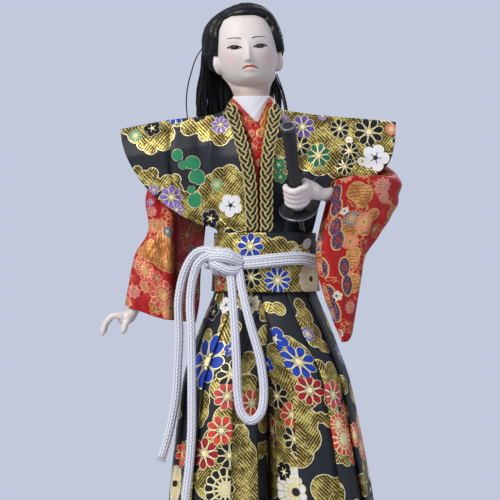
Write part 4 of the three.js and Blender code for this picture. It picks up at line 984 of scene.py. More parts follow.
def chest_front(z, x, out):
    a, b = body_at(z)
    return -(b + out) * math.sqrt(max(1 - ((x - lean_at(z)) / (a + out)) ** 2, 0.02))


def obi_point(z, out, angle):
    """A point of the sash, which bulges where the scabbard runs under it."""
    s = sizes()
    t = (z * MM - s.obi_bottom) / s.obi_height
    a, b = mix(27, 25.6, t), mix(21.8, 20.8, t)
    axis = on_sword((z - GUARD.z) / SWORD_UP.z)
    lean = math.atan2(axis.y / b, axis.x / a)
    swell = max(math.hypot(axis.x / a, axis.y / b) + 4.9 / a - 1, 0)
    aside = math.atan2(math.sin(angle - lean), math.cos(angle - lean))
    scale = 1 + swell * bump(aside, 0.34)
    return Vector(((a * scale + out) * math.cos(angle), (b * scale + out) * math.sin(angle), z))


def belt_height(x):
    s = sizes()
    wave = 2.3 * smooth(x, -14, 16) - 1.9 * smooth(x, 17, 27) - 1.6
    return (s.obi_bottom + s.obi_height * 0.57) / MM - 0.5 + wave


# Cloth: grids through rows of points, and the brocade woven on them

def cloth_rows(bm, rows, wrap=False, centre=0.5, shift=0.0, heights=None, projected=False):
    """Adds a grid through rows of points.

    Its flat cloth is measured along each row from the centre and down, or is the front view if projected.
    """
    down, across = len(rows) - 1, len(rows[0]) - 1
    middle = round(centre * across)
    arcs = []
    for row in rows:
        run = [0.0]
        for p, q in zip(row, row[1:]):
            run.append(run[-1] + (q - p).length)
        arcs.append([r - run[middle] + shift for r in run])
    if heights is None:
        heights = [0.0]
        for p, q in zip(rows, rows[1:]):
            heights.append(heights[-1] - (q[middle] - p[middle]).length)

    def place(u, v):
        return rows[round(v * down)][round(u * across)]

    def unfold(u, v, point):
        if projected:
            return point.x + shift, point.z
        k = round(v * down)
        return arcs[k][round(u * across)], heights[k]

    outward = 1.0
    if wrap:
        outward = 0.0
        for row, lower in zip(rows[::4], rows[1::4]):
            middle_point = sum(row[:-1], Vector()) / across
            for i in range(0, across, 4):
                outward += (row[i + 1] - row[i]).cross(lower[i] - row[i]).dot(row[i] - middle_point)
    cloth_grid(bm, across, down, place, unfold, wrap=wrap, flip=outward < 0)


def srgb(*levels):
    return tuple((v / 255 / 12.92) if v < 10 else ((v / 255 + 0.055) / 1.055) ** 2.4 for v in levels)


THREADS = {
    "purple": srgb(135, 108, 190), "violet": srgb(96, 74, 150), "blue": srgb(28, 62, 165),
    "emerald": srgb(30, 104, 74), "green": srgb(44, 134, 92), "red": srgb(214, 66, 50),
    "crimson": srgb(150, 26, 40), "rose": srgb(196, 70, 78), "pink": srgb(214, 112, 122),
    "coral": srgb(222, 122, 96), "white": srgb(232, 232, 238), "cream": srgb(224, 210, 184),
    "black": srgb(20, 20, 24), "ink": srgb(20, 20, 24), "slate": srgb(96, 104, 116),
}


def array_of(data, field, count, wide=1, kind=np.float32):
    values = np.empty(count * wide, kind)
    data.foreach_get(field, values)
    return values.reshape(-1, wide) if wide > 1 else values


class Weave:
    """The flat cloth of a piece: where its corners and faces lie on it, and what the front view sees."""

    def __init__(self, mesh):
        corners, faces = len(mesh.loops), len(mesh.polygons)
        self.mesh = mesh
        self.flat = array_of(mesh.uv_layers["cloth"].data, "uv", corners, 2).astype(np.float64) / MM
        places = array_of(mesh.vertices, "co", len(mesh.vertices), 3) / MM
        vertex = array_of(mesh.loops, "vertex_index", corners, kind=np.int32)
        starts = array_of(mesh.polygons, "loop_start", faces, kind=np.int32)
        totals = array_of(mesh.polygons, "loop_total", faces, kind=np.int32)
        self.face_of = np.repeat(np.arange(faces), totals)
        self.middle = np.stack([np.add.reduceat(self.flat[:, k], starts) / totals for k in (0, 1)], 1)
        centres = np.stack([np.add.reduceat(places[vertex, k], starts) / totals for k in (0, 1, 2)], 1)
        self.in_front = array_of(mesh.polygons, "normal", faces, 3)[:, 1] < -0.12
        self.ahead = np.where(self.in_front)[0] if self.in_front.any() else np.arange(faces)
        self.depth = centres[:, 1]
        nearer = view_distance() / (view_distance() + self.depth)
        self.seen_x = VIEW_X + (centres[:, 0] - VIEW_X) * nearer
        self.seen_z = VIEW_Z + (centres[:, 2] - VIEW_Z) * nearer

    def on_cloth(self, x, z):
        """The flat place that the front view sees at x and z, or None where it sees no cloth."""
        ahead = self.ahead
        gap = (self.seen_x[ahead] - x) ** 2 + (self.seen_z[ahead] - z) ** 2 + 0.06 * self.depth[ahead]
        best = ahead[int(np.argmin(gap))]
        if abs(self.seen_x[best] - x) >= 3:
            return None
        return (float(self.middle[best, 0] + x - self.seen_x[best]),
                float(self.middle[best, 1] + z - self.seen_z[best]))

    def is_free(self, u, v, listed):
        """Whether the cloth reaches this flat place, and the listed pattern leaves it to the scatter."""
        gap = (self.middle[:, 0] - u) ** 2 + (self.middle[:, 1] - v) ** 2
        best = int(np.argmin(gap))
        return gap[best] < 16 and not (listed and self.in_front[best])

    def write(self, clouds, flowers):
        """Each corner's depth in the clouds, its place in the nearest flower, and that flower's colour."""
        flat, corners = self.flat, len(self.flat)
        cloud = np.full(corners, -20.0)
        for u, v, r in clouds:
            np.maximum(cloud, r - np.hypot(flat[:, 0] - u, flat[:, 1] - v), out=cloud)
        local = np.zeros((corners, 3))
        local[:, :2] = 9.0
        paint = np.zeros((corners, 4))
        if flowers:
            reach = np.stack([np.hypot(self.middle[:, 0] - u, self.middle[:, 1] - v) / r
                              for u, v, r, _, _, _ in flowers])
            nearest = np.argmin(reach, 0)[self.face_of]
            near = (np.min(reach, 0) < 1.6)[self.face_of]
            numbers = np.array([(u, v, r, petals, turn) for u, v, r, petals, _, turn in flowers])[nearest]
            shades = np.array([(*THREADS[name], 1.0 if name == "ink" else 0.0)
                               for _, _, _, _, name, _ in flowers])
            du, dv = ((flat - numbers[:, :2]) / numbers[:, 2:3]).T
            lens = numbers[:, 3] > 19
            du, dv = np.where(lens, du / 1.7, du), np.where(lens, dv * 1.15, dv)
            c, s = np.cos(numbers[:, 4]), np.sin(numbers[:, 4])
            local[near] = np.stack([du * c - dv * s, du * s + dv * c, numbers[:, 3]], 1)[near]
            paint[near] = shades[nearest][near]
        for name, kind, field, values in (("cloud", "FLOAT", "value", cloud),
                                          ("bloom", "FLOAT_VECTOR", "vector", local),
                                          ("petal", "FLOAT_COLOR", "color", paint)):
            layer = self.mesh.attributes.new(name, kind, "CORNER")
            layer.data.foreach_set(field, values.astype(np.float32).ravel())


def weave_pattern(made, lobes, blooms, seed, colours, spacing, motif):
    """Writes where the metal clouds and the flowers lie on the cloth.

    The listed ones are placed by the X and Z at which the front view sees them; the rest is scattered.
    """
    weave = Weave(made.data)
    wheel = random.Random(seed)
    clouds, flowers = [], []
    for x, z, r in lobes:
        spot = weave.on_cloth(x, z)
        if spot:
            clouds.append((*spot, r))
    for x, z, r, petals, name in blooms:
        spot = weave.on_cloth(x, z)
        if spot:
            flowers.append((*spot, r, petals, name, wheel.uniform(0, math.tau) if petals < 20 else 0.0))
    low, high = weave.flat.min(0), weave.flat.max(0)
    u = low[0]
    while u < high[0] + spacing:
        v = low[1]
        while v < high[1] + spacing:
            x, y = u + wheel.uniform(-0.4, 0.4) * spacing, v + wheel.uniform(-0.4, 0.4) * spacing
            if weave.is_free(x, y, lobes):
                for _ in range(wheel.randint(4, 7)):
                    clouds.append((x + wheel.gauss(0, 0.36) * spacing, y + wheel.gauss(0, 0.2) * spacing,
                                   wheel.uniform(3.0, 5.2)))
            v += spacing * 0.8
        u += spacing
    for _ in range(900):
        x, y = wheel.uniform(low[0], high[0]), wheel.uniform(low[1], high[1])
        r = wheel.uniform(*motif)
        clear = all(math.hypot(x - f[0], y - f[1]) > (r + f[2]) * 1.12 for f in flowers)
        if clear and weave.is_free(x, y, lobes):
            name, petals = wheel.choice(colours)
            flowers.append((x, y, r, petals, name, wheel.uniform(0, math.tau)))
            if len(flowers) > 90:
                break
    weave.write(clouds, flowers)


BLACK_BLOOMS = (("purple", 8), ("red", 8), ("blue", 8), ("white", 5), ("black", 8), ("green", 6),
                ("cream", 12), ("rose", 10), ("black", 5), ("crimson", 8), ("ink", 5))
RED_BLOOMS = (("rose", 12), ("coral", 10), ("violet", 12), ("pink", 8), ("slate", 5), ("crimson", 10))


def make_cloth(name, bm, look, node, pattern=None, wall=0.8, body="figure", layers=1,
               toward=None):
    """Makes a sheet of the bmesh, weaves its brocade and gives the cloth its thickness.

    It also works out its size as its own flat cloth has it, before it was folded lengthwise into layers; that
    size is not used.
    """
    made = make_piece(name, bm, look, node, body, outward=False, toward=toward)
    if pattern:
        weave_pattern(made, *pattern)
    thicken(made, wall)
    area = sum(face.area for face in made.data.polygons)
    wide, long = np.ptp(array_of(made.data.uv_layers["cloth"].data, "uv", len(made.data.loops), 2), axis=0)
    grow = max(1.0, math.sqrt(area / (wide * long)))
    wide, long = float(wide * grow * layers), float(long * grow)
    return made


def sheet_mesh(rows, **grid):
    bm = bmesh.new()
    cloth_rows(bm, rows, **grid)
    return bm


# White cord

CORD_ROUTES = {
    "cord_loop": (
        (-17.6, -23.4, 179), (-16.4, -26.8, 168), (-15.2, -31.2, 150), (-14.3, -33.4, 133.5),
        (-13.6, -34.8, 116.3), (-11.6, -35.8, 107), (-7, -36.4, 103.4), (-2.4, -36.2, 107),
        (-0.6, -35.2, 116.3), (-2.3, -34, 133.5), (-7.4, -31.8, 152), (-11, -28, 167), (-13, -23.8, 178.2)),
    "cord_tail_inner": (
        (-25.6, -24.2, 184.4), (-29, -24.8, 185.4), (-33, -23.6, 182.6), (-35.8, -22.0, 175.6),
        (-37.4, -22, 163.8), (-37, -24.6, 150), (-36.7, -26.4, 133.5), (-36.6, -28.4, 116),
        (-36.7, -30, 99.3), (-38, -31.4, 80), (-39.7, -32.4, 64.8), (-40.4, -33, 54)),
    "cord_tail_outer": (
        (-24.4, -20.4, 187.6), (-28.8, -20.4, 188.8), (-34.6, -19.0, 187.0), (-39.8, -17.4, 179),
        (-43.2, -17, 163.8), (-42.9, -17, 146.5), (-43.6, -17.4, 131), (-44.5, -18, 116.3), (-47.4, -19, 100),
        (-51.5, -20, 85.3)),
}
# Where the belt's cord and the two tails run through the front of the knot
KNOT_BANDS = (
    ((-12.0, -23.0, 182.6), (-17.5, -26.3, 184.4), (-22.5, -26.6, 185.2), (-26.5, -25.0, 184.8)),
    ((-12.6, -23.2, 180.2), (-15.2, -25.6, 178.8), (-18.8, -26.6, 179.2), (-23.4, -26.0, 181.4),
     (-26.4, -22.4, 183.2), (-27.2, -18.4, 184.0)),
    ((-12.4, -22.6, 184.2), (-18.0, -24.6, 187.2), (-23.4, -22.6, 187.6), (-27.4, -21.0, 188.0)))
KNOT_CENTRE = Vector((-21.0, -20.5, 182.9))


def cord_radius():
    return sizes().cord_diameter / MM / 2


def add_tuft(bm, end, ahead, seed, radius):
    """The cord's cut end, where its yarns have come apart."""
    wheel = random.Random(seed)
    side = ahead.cross(Vector((0.2, 1, 0.1))).normalized()
    rise = ahead.cross(side)
    for _ in range(46):
        angle, out = wheel.uniform(0, math.tau), radius * math.sqrt(wheel.random()) * 0.9
        aside = side * math.cos(angle) + rise * math.sin(angle)
        length = wheel.uniform(2.4, 4.4)
        root = end - ahead * 0.5 + aside * out
        points = [root, root + ahead * length * 0.5 + aside * (0.3 * out),
                  root + ahead * length * 0.9 + aside * (out * wheel.uniform(0.3, 1.0))]
        limb(bm, points, (0.13, 0.12, 0.07), sides=5, steps=5)


def seen_at(point):
    """Moves a point given by its place in the picture back along its line of sight to its own depth."""
    x, y, z = point
    nearer = (view_distance() + y) / view_distance()
    return Vector((VIEW_X + (x - VIEW_X) * nearer, y, VIEW_Z + (z - VIEW_Z) * nearer))


def build_free_cords():
    radius = cord_radius()
    for node, far_end in (("cord_loop", "object"), ("cord_tail_inner", "bare"), ("cord_tail_outer", "bare")):
        path = Path([seen_at(p) for p in CORD_ROUTES[node]])
        bm = bmesh.new()
        cord_tube(bm, path, radius)
        made = make_piece("white_" + node, bm, "white_cord", node)
        extra = []
        if far_end == "bare":
            bm = bmesh.new()
            add_tuft(bm, path.at(1), path.along(1), len(node), radius)
            extra = [make_piece("white_" + node + "_tuft", bm, "white_cloth", slot="white_cord")]
        points = [tuple(path.at(k / 48) * MM) for k in range(49)]
        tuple(points[0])


def build_belt_cord():
    radius = cord_radius() * 0.93
    bm = bmesh.new()
    for rise in (0.62, -0.62):
        ring = []
        for k in range(36):
            p = obi_point(182.5, radius + 0.25, math.tau * k / 36)
            p.z = belt_height(p.x) + rise * radius
            ring.append(p)
        cord_tube(bm, Path(ring, closed=True), radius, loop=True)
    make_piece("white_waist_cord", bm, "white_cord", "waist_cord")


def build_knot():
    """Three slanting turns of cord round the belt, with the tails rising out of the top one."""
    radius = cord_radius()
    bm = bmesh.new()
    for shift, tall, swell in ((-4.4, 4.6, 0.0), (-0.2, 5.6, 0.9), (3.9, 5.0, 0.3)):
        points = []
        for degrees in (120, 155, 190, 225, 260, 290, 320, 355, 30):
            a = math.radians(degrees)
            points.append(KNOT_CENTRE + Vector((
                shift - 2.2 * math.sin(a - math.radians(250)) + 0.4 * math.cos(a),
                2.9 - (5.9 + swell) * math.cos(a - math.radians(265)),
                tall * math.sin(a - math.radians(255)))))
        cord_tube(bm, Path(points, closed=True), radius * 1.06, loop=True)
    for band in KNOT_BANDS:
        cord_tube(bm, Path(band), radius)
    make_piece("white_cord_knot", bm, "white_cord", "cord_knot")


# Red kimono and its collars

def build_kimono():
    top, bottom, arm_hole = 251.8, 148.2, 236.0

    def point(u, v):
        z = mix(top, bottom, v)
        a, b = body_at(z)
        turn = math.pi / 2 + math.tau * u
        crease = 0.25 * wander(math.cos(turn) * 2, math.sin(turn) * 2, z * 0.05)
        return Vector((lean_at(z) + (a - 0.55 + crease) * math.cos(turn),
                       (b - 0.55 + crease) * math.sin(turn), z))

    rows = rows_of(150, 96, point)
    bm = sheet_mesh(rows, wrap=True, heights=[row[0].z for row in rows])
    cut = []
    for face in bm.faces:
        p = face.calc_center_median() / MM
        along = (p - GUARD).dot(SWORD_UP)
        aside = (p - GUARD - SWORD_UP * along).length
        arm = math.hypot(p.y, p.z - arm_hole)
        if (along < 2 and aside < 3.6) or (arm < 2.6 and abs(p.x - lean_at(p.z)) > 12):
            cut.append(face)
    bmesh.ops.delete(bm, geom=cut, context="FACES")
    pattern = ([(3.5, 243, 4.0), (-1.5, 238.5, 2.6)], [(-3.2, 238.0, 3.2, 10, "crimson")], 11, RED_BLOOMS,
               19.0, (2.4, 4.2))
    make_cloth("red_kimono_body", bm, "red_brocade", "kimono_body", pattern)


def build_under_collar():
    """The white band under the kimono: it closes across the throat, left over right."""
    def point(u, v):
        turn = math.pi / 2 + math.tau * u
        ahead = -math.sin(turn)
        radius = mix(9.25, 12.1, v ** 0.85)
        lift = 265.4 - 0.5 * smooth(ahead, 0.2, 0.95) + 0.4 * smooth(-ahead, 0.0, 1.0)
        z = mix(lift, 252.9 - 1.3 * smooth(ahead, 0.3, 1.0), v)
        x = NECK_LEAN + radius * math.cos(turn)
        y = (0.6 + 0.3 * v) + (radius + 0.4 * smooth(ahead, 0.4, 1.0) * v) * math.sin(turn)
        # The left band's edge runs down across the right band from the neck's left side
        edge = NECK_LEAN + 7.6 - (lift - z) * 0.75
        y -= 0.45 * smooth(x, edge - 0.35, edge + 0.35) * smooth(ahead, 0.0, 0.4) - 0.1
        return Vector((x, y, z))

    bm = sheet_mesh(rows_of(170, 26, point), wrap=True)
    make_cloth("white_under_collar", bm, "white_cloth", "under_collar", wall=0.5)


COLLAR_LOBES = ((-13.8, 253, 3.4), (-16, 256, 2.6), (2.2, 256, 3.6), (0.6, 251.6, 3.2), (-2.0, 247.2, 2.4))
COLLAR_BLOOMS = ((-6.4, 247.4, 2.2, 8, "coral"), (-7.0, 240.6, 2.0, 8, "pink"),
                 (-2.8, 232.2, 2.2, 8, "coral"))


def build_kimono_collar():
    width = 6.4
    nape = [(NECK_LEAN + 11.7 * math.cos(a), 1.0 + 12.0 * math.sin(a), 261.4 + 0.9 * math.sin(a))
            for a in (math.radians(degrees) for degrees in (160, 128, 90, 52, 20))]
    path = Path([(5.5, -17, 225), (1.8, -17, 235), (-5.8, -14.6, 247.6), (-11.6, -12.0, 254.2),
                 (-16.4, -6.0, 260.2), *nape, (3.6, -6.4, 261.0), (0.9, -12.2, 254.8), (-1.2, -14.6, 248.6),
                 (-4.8, -17, 235), (-7.2, -17, 225)])

    def point(u, t):
        p, ahead = path.at(t), path.along(t)
        out = Vector((p.x - NECK_LEAN, p.y, 5)).normalized()
        aside = u - 0.5
        q = p + out.cross(ahead).normalized() * (aside * width)
        q.y = mix(q.y, chest_front(q.z, q.x, mix(0.95, 2.25, t)), 1 - smooth(q.z, 247, 255))
        return q + out * (0.35 * (1 - (2 * aside) ** 2) + 0.12 * wander(t * 40, aside * 2))

    bm = sheet_mesh(rows_of(14, 220, point))
    make_cloth("red_kimono_collar", bm, "red_brocade", "kimono_collar",
               (COLLAR_LOBES, COLLAR_BLOOMS, 12, RED_BLOOMS, 17.0, (2.0, 3.2)), layers=2,
               toward=lambda p: Vector((p.x - NECK_LEAN * MM, p.y, 0)))


# Winged jacket

BRAID_LINE = {
    "right": ((-16.9, 258), (-12.9, 245), (-9.1, 231.3), (-7.3, 219.3), (-6.8, 206), (-6.7, 195.0)),
    "left": ((5.2, 258), (3.5, 248), (1.4, 237), (0.6, 224.3), (0.6, 210), (0.6, 195.0)),
}
WING_TOP = {
    "right": ((-19, 255.2), (-28, 252.6), (-47.9, 251.2), (-71.8, 247.8)),
    "left": ((8, 255.6), (26, 253.4), (46, 252.0), (65.3, 250.6)),
}
WING_EDGE = {
    "right": ((-71.8, 247.8), (-70.6, 241), (-66.7, 231.2), (-57.8, 218.4), (-44.9, 208), (-33, 202),
              (-24.4, 199.4), (-22.0, 195.0)),
    "left": ((65.3, 251.6), (63.9, 240.1), (60.2, 230.6), (52.6, 225), (36, 224.8), (28, 214), (24.2, 201),
             (22.0, 195.0)),
}
JACKET_LOBES = {
    "right": (
        (-64.7, 245.8, 4.1), (-60.7, 241.8, 3.6), (-57.1, 239.7, 3.6), (-51.0, 241.8, 3.8),
        (-48.9, 246.9, 4.1), (-55.6, 244.8, 4.6), (-53.5, 249.4, 4.1), (-48.9, 250.4, 3.1),
        (-43.8, 252.5, 2.6), (-38.2, 249.4, 4.1), (-34.1, 250.9, 4.6), (-30.1, 245.8, 3.3),
        (-26.5, 247.9, 4.6), (-21.9, 244.8, 4.3), (-18.3, 247.9, 4.1), (-28.5, 252.5, 4.1),
        (-63.7, 228.5, 2.6), (-59.6, 224.9, 3.8), (-56.1, 227.0, 3.1), (-54.5, 221.4, 3.8),
        (-48.9, 222.9, 3.6), (-44.8, 223.9, 3.1), (-45.9, 218.3, 5.1), (-40.8, 212.7, 5.6),
        (-36.7, 207.1, 5.6), (-48.9, 213.2, 4.6), (-33.6, 202.0, 4.1), (-26.5, 222.9, 4.1),
        (-22.4, 225.9, 4.1), (-17.3, 227.0, 4.6), (-13.7, 223.9, 4.1), (-22.4, 218.8, 6.6),
        (-29.0, 217.8, 4.6), (-16.3, 216.2, 7.1), (-26.5, 208.6, 7.1), (-18.8, 206.0, 6.6),
        (-32.6, 209.1, 4.6), (-12.7, 202.5, 4.6), (-23.9, 199.9, 4.6), (-9.6, 210.1, 6.1),
        (-31.6, 214.7, 4.6)),
    "left": (
        (12.9, 255.5, 5.0), (21.2, 255.1, 5.0), (28.2, 252.2, 5.4), (35.7, 253.0, 5.4), (44.0, 251.3, 5.4),
        (52.3, 251.3, 6.2), (60.5, 248.0, 5.4), (58.5, 241.8, 5.0), (62.2, 239.7, 3.3), (25.3, 245.5, 6.2),
        (19.1, 243.0, 5.4), (31.5, 243.0, 6.2), (39.8, 245.5, 5.0), (21.2, 234.3, 6.2), (27.4, 232.3, 6.6),
        (33.6, 235.6, 6.2), (46.0, 241.8, 4.1), (46.0, 227.3, 5.4), (39.8, 229.4, 3.7), (52.3, 225.2, 4.1),
        (35.7, 229.4, 5.0), (48.1, 236.4, 4.6), (8.7, 239.7, 5.0), (6.6, 229.4, 5.0)),
}
JACKET_BLOOMS = {
    "right": (
        (-22.1, 251.2, 4.8, 8, "purple"), (-56.3, 249.4, 4.6, 5, "black"), (-64.6, 245.8, 3.2, 12, "green"),
        (-43.2, 236.2, 3.4, 1, "green"), (-41.0, 231.6, 2.6, 1, "green"), (-36.4, 231.6, 4.3, 1, "green"),
        (-34.2, 224.6, 4.6, 1, "green"), (-36.4, 218.8, 2.4, 1, "green"), (-34.4, 213.6, 4.3, 1, "green"),
        (-23.9, 221.4, 3.1, 12, "green"), (-46.9, 215.2, 5.9, 8, "purple"),
        (-55.6, 218.8, 2.7, 8, "purple"), (-44.1, 209.1, 3.7, 8, "purple"), (-17.0, 211.1, 5.9, 5, "white"),
        (-27.2, 204.5, 4.8, 5, "ink")),
    "left": (
        (18.7, 250.1, 6.4, 8, "violet"), (10.2, 254.4, 2.5, 8, "purple"), (28.6, 255.5, 2.5, 8, "purple"),
        (37.3, 249.2, 5.2, 8, "black"), (51.8, 247.6, 7.7, 8, "black"), (26.8, 236.0, 6.2, 8, "emerald"),
        (55.2, 234.8, 7.0, 5, "white"), (48.5, 233.1, 2.4, 12, "white"), (17.2, 240.8, 5.4, 8, "black"),
        (42.5, 238.1, 4.6, 8, "black"), (39.8, 230.6, 4.6, 8, "black"),
        (63.0, 248.8, 3.1, 12, "red"), (41.9, 243.5, 2.0, 12, "white"), (6.6, 231.4, 3.7, 5, "green"),
        (7.5, 225.2, 3.1, 5, "green")),
}


def flat_path(pairs):
    return Path([(x, 0, z) for x, z in pairs], steps=24)


def jacket_offset(x, z, front):
    """How far the jacket stands off the body's middle plane."""
    shoulder = sizes().shoulder_height / MM
    aside = abs(x - lean_at(z))
    line = mix(shoulder + 0.5, shoulder - 8, clamp((aside - 11) / 58))
    drop = max(line - z, 0)
    wing = mix(1.1, 9 if front else 17, min(drop / 16, 1) ** 0.8)
    body = -chest_front(z, x, 3.7 if front else 3.2)
    near = (1 - smooth(aside, 17, 31)) * smooth(drop, 0, 5)
    neck = 0
    if aside < 15.4:
        neck = 17.4 * math.sqrt(1 - (aside / 15.5) ** 2) * smooth(z, shoulder - 9, shoulder - 3)
    pressed = 3.2 * bump(math.hypot(x - GUARD.x + 4.5, z - GUARD.z), 8) if front and x > 0 else 0
    return max(mix(wing, max(wing, body), near), neck) - pressed


def wing_fold(side, front, u, t, x, z):
    """The wing's folds: it turns back along its edge, and one valley runs down to the sash."""
    start = min(1, 6 * t)
    if not front:
        return (0.9 * wander(x * 0.045, z * 0.02, 4.0) - 0.35 * bump(u - 0.55, 0.03)) * start
    if side == "right":
        turn = mix(0.55, 1.0, min(t / 0.92, 1))
        valley = 0.36 + 0.3 * (t - 0.2)
        fold = 2.1 * smooth(u, turn - 0.004, turn + 0.010) * min(1, 8 * t + 0.35)
        fold -= 1.1 * bump(u - valley, 0.05) * min(1, 3 * t)
        return fold - (0.6 * bump(u - turn + 0.03, 0.03) + 1.3 * smooth(u, turn + 0.01, 1.0)) * start
    turn = mix(0.62, 0.7, t)
    fold = (0.9 * smooth(u, turn - 0.012, turn + 0.012) - 0.7 * bump(u - 0.36, 0.06)) * start
    return fold + 0.9 * bump(z - 226.5, 3.0) * smooth(x, 28, 40)


def jacket_rows(side, front, across, down):
    inner = flat_path(BRAID_LINE[side] if front else ((NECK_LEAN, 258), (-3, 225), (0, 195.0)))
    top = flat_path(WING_TOP[side] if front else ((NECK_LEAN, 258), *WING_TOP[side]))
    edge = flat_path(WING_EDGE[side])
    first, last = top.at(0), top.at(1)
    seed = 3.0 if side == "right" else 9.0
    lines = [(inner.at(k / down), edge.at(k / down)) for k in range(down + 1)]

    def point(u, t):
        a, b = lines[round(t * down)]
        rise = top.at(u).z - mix(first.z, last.z, u)
        x, z = mix(a.x, b.x, u), mix(a.z, b.z, u) + (1 - t) ** 2 * rise
        fold = wing_fold(side, front, u, t, x, z)
        fold += 0.45 * wander(x * 0.09, z * 0.07, seed) * min(1, 6 * t) * smooth(u, 0, 0.12)
        out = jacket_offset(x, z, front) + fold
        if z < 200.5:
            sash = 19.3 * math.sqrt(max(1 - (x / 24.2) ** 2, 0.01))
            out = mix(out, min(out, sash), smooth(-z, -200.5, -198.0))
        return Vector((x, -out if front else out, z))

    return rows_of(across, down, point)


def roll_over(rows, radius):
    """Carries the top edge over the shoulder to meet the other side."""
    added = []
    for degrees in (150, 120, 90, 60, 30):
        a = math.radians(degrees)
        over = Vector((0, radius * (1 - math.cos(a)), radius * 0.85 * math.sin(a)))
        added.append([p + over for p in rows[0]])
    return added + rows


def build_jacket():
    for side in ("right", "left"):
        bm = sheet_mesh(roll_over(jacket_rows(side, True, 74, 74), 0.95), projected=True)
        make_cloth("black_jacket_front_" + side, bm, "black_brocade", "jacket_front_" + side,
                   (JACKET_LOBES[side], JACKET_BLOOMS[side], 21, BLACK_BLOOMS, 16.0, (3.0, 6.0)),
                   wall=0.9, toward=lambda p: Vector((0, -1, 0)))
    right, left = (jacket_rows(side, False, 66, 70) for side in ("right", "left"))
    bm = sheet_mesh([list(reversed(a)) + b[1:] for a, b in zip(right, left)], projected=True)
    make_cloth("black_jacket_back", bm, "black_brocade", "jacket_back",
               ((), (), 22, BLACK_BLOOMS, 17.0, (3.4, 7.0)), wall=0.9, toward=lambda p: Vector((0, 1, 0)))


class Ribbon:
    """The line of a lapel braid: down the chest on one side, and up round the nape."""

    def __init__(self, side):
        line = flat_path(BRAID_LINE[side])
        hand = -1 if side == "right" else 1
        low = 1 - 2.9 / line.length
        points = []
        for k in range(18, -1, -1):
            p = line.at(low * k / 18)
            points.append(Vector((p.x, -jacket_offset(p.x, p.z, True) - 2.25, p.z)))
        self.facing = [Vector((0, -1, 0))] * len(points)
        top = points[-1]
        start = math.degrees(math.atan2(top.y, (top.x - NECK_LEAN) * hand))
        reach = math.hypot(top.y, top.x - NECK_LEAN)
        for k in range(1, 9):
            turn = math.radians(mix(start, 90, k / 8))
            out = Vector((hand * math.cos(turn), math.sin(turn), 0))
            wide, deep = mix(reach, 12.6, min(1, k / 2)), mix(reach, 15.5, min(1, k / 3))
            rise = 0.9 * math.sin(math.pi * k / 16)
            points.append(Vector((NECK_LEAN + out.x * wide, out.y * deep, 258 + rise)))
            self.facing.append((out + Vector((0, 0, 0.5))).normalized())
        self.path = Path(points)
        run = [0.0]
        for p, q in zip(points, points[1:]):
            run.append(run[-1] + (q - p).length)
        self.shares = [r / run[-1] for r in run]

    def at(self, run):
        """Place, sideways and outward at this length along the braid."""
        share = clamp(run / self.path.length)
        low = min(int(np.searchsorted(self.shares, share, side="right")) - 1, len(self.facing) - 2)
        w = (share - self.shares[low]) / (self.shares[low + 1] - self.shares[low])
        ahead = self.path.along(share, 0.006)
        out = self.facing[low].lerp(self.facing[low + 1], clamp(w))
        out = (out - ahead * out.dot(ahead)).normalized()
        return self.path.at(share), ahead.cross(out), out


PLAIT_SWING = 1.95
PLAIT_LANE = 0.92


def plaited_route(ribbon, strand, lane, period):
    """One cord of the plait: its strand swings across the ribbon, and its lane runs beside the strand."""
    length = ribbon.path.length
    count = int(length / 0.8)
    route = []
    for k in range(count + 1):
        run = k * length / count
        phase = math.tau * (run / period + strand / 3)
        slope = PLAIT_SWING * math.tau / period * math.cos(phase)
        norm = math.hypot(1, slope)
        place, across, out = ribbon.at(run - slope * PLAIT_LANE * lane / norm)
        route.append(place + across * (PLAIT_SWING * math.sin(phase) + PLAIT_LANE * lane / norm)
                     + out * (0.6 * math.sin(2 * phase) + (0.16 if lane == 0 else 0)))
    return Path(route, steps=2)


def build_braids():
    """Lapel trim: a plait of three strands, each of a black cord between two gold ones."""
    period = sizes().braid_period / MM
    for side in ("right", "left"):
        ribbon = Ribbon(side)
        bm = bmesh.new()
        for strand in range(3):
            for lane in (-1, 0, 1):
                tube = plaited_route(ribbon, strand, lane, period)
                steps = int(tube.length / 0.62)
                frames = tube.frames(steps)
                thick = 0.64 if lane == 0 else 0.50

                def place(u, v):
                    centre, sideways, rise = frames[round(v * steps)]
                    turn = math.tau * u
                    return centre + sideways * (thick * math.cos(turn)) + rise * (thick * math.sin(turn))

                cloth_grid(bm, 8, steps, place, lambda u, v, p: (u * 10, v * tube.length), wrap=True,
                           ends=True, material=1 if lane == 0 else 0)
        make_piece("gold_braid_" + side, bm, "gold_thread black_thread", "braid_" + side, slot="braid")


# Sash and trousers

OBI_LOBES = (
    (-21.7, 192.6, 6.9), (-15.4, 189.8, 7.5), (-7.3, 194.4, 8.0), (-0.4, 189.8, 5.7), (7.0, 190.9, 4.6),
    (-13.1, 182.3, 7.5), (-3.9, 182.3, 8.0), (4.2, 181.2, 7.5), (12.8, 182.3, 6.9), (-9.6, 169.1, 5.7),
    (-1.6, 169.1, 6.3), (-18.8, 177.1, 6.9), (-21.7, 169.1, 5.7), (6.5, 169.1, 5.7), (12.8, 172.5, 6.3),
    (20.2, 177.1, 6.9), (21.4, 169.1, 5.7), (13.3, 189.2, 4.0), (18.5, 186.3, 5.2))
OBI_BLOOMS = (
    (-7.3, 190.6, 6.8, 8, "blue"), (-7.0, 175.1, 5.9, 8, "black"), (6.2, 173.7, 6.9, 10, "blue"),
    (20.8, 191.5, 3.2, 1, "white"), (15.6, 187.5, 3.4, 5, "cream"), (22.8, 174.3, 8.6, 14, "cream"),
    (-22.8, 172.5, 4.9, 8, "red"), (-18.8, 186.9, 3.4, 8, "red"), (-22.2, 182.3, 3.4, 8, "red"))
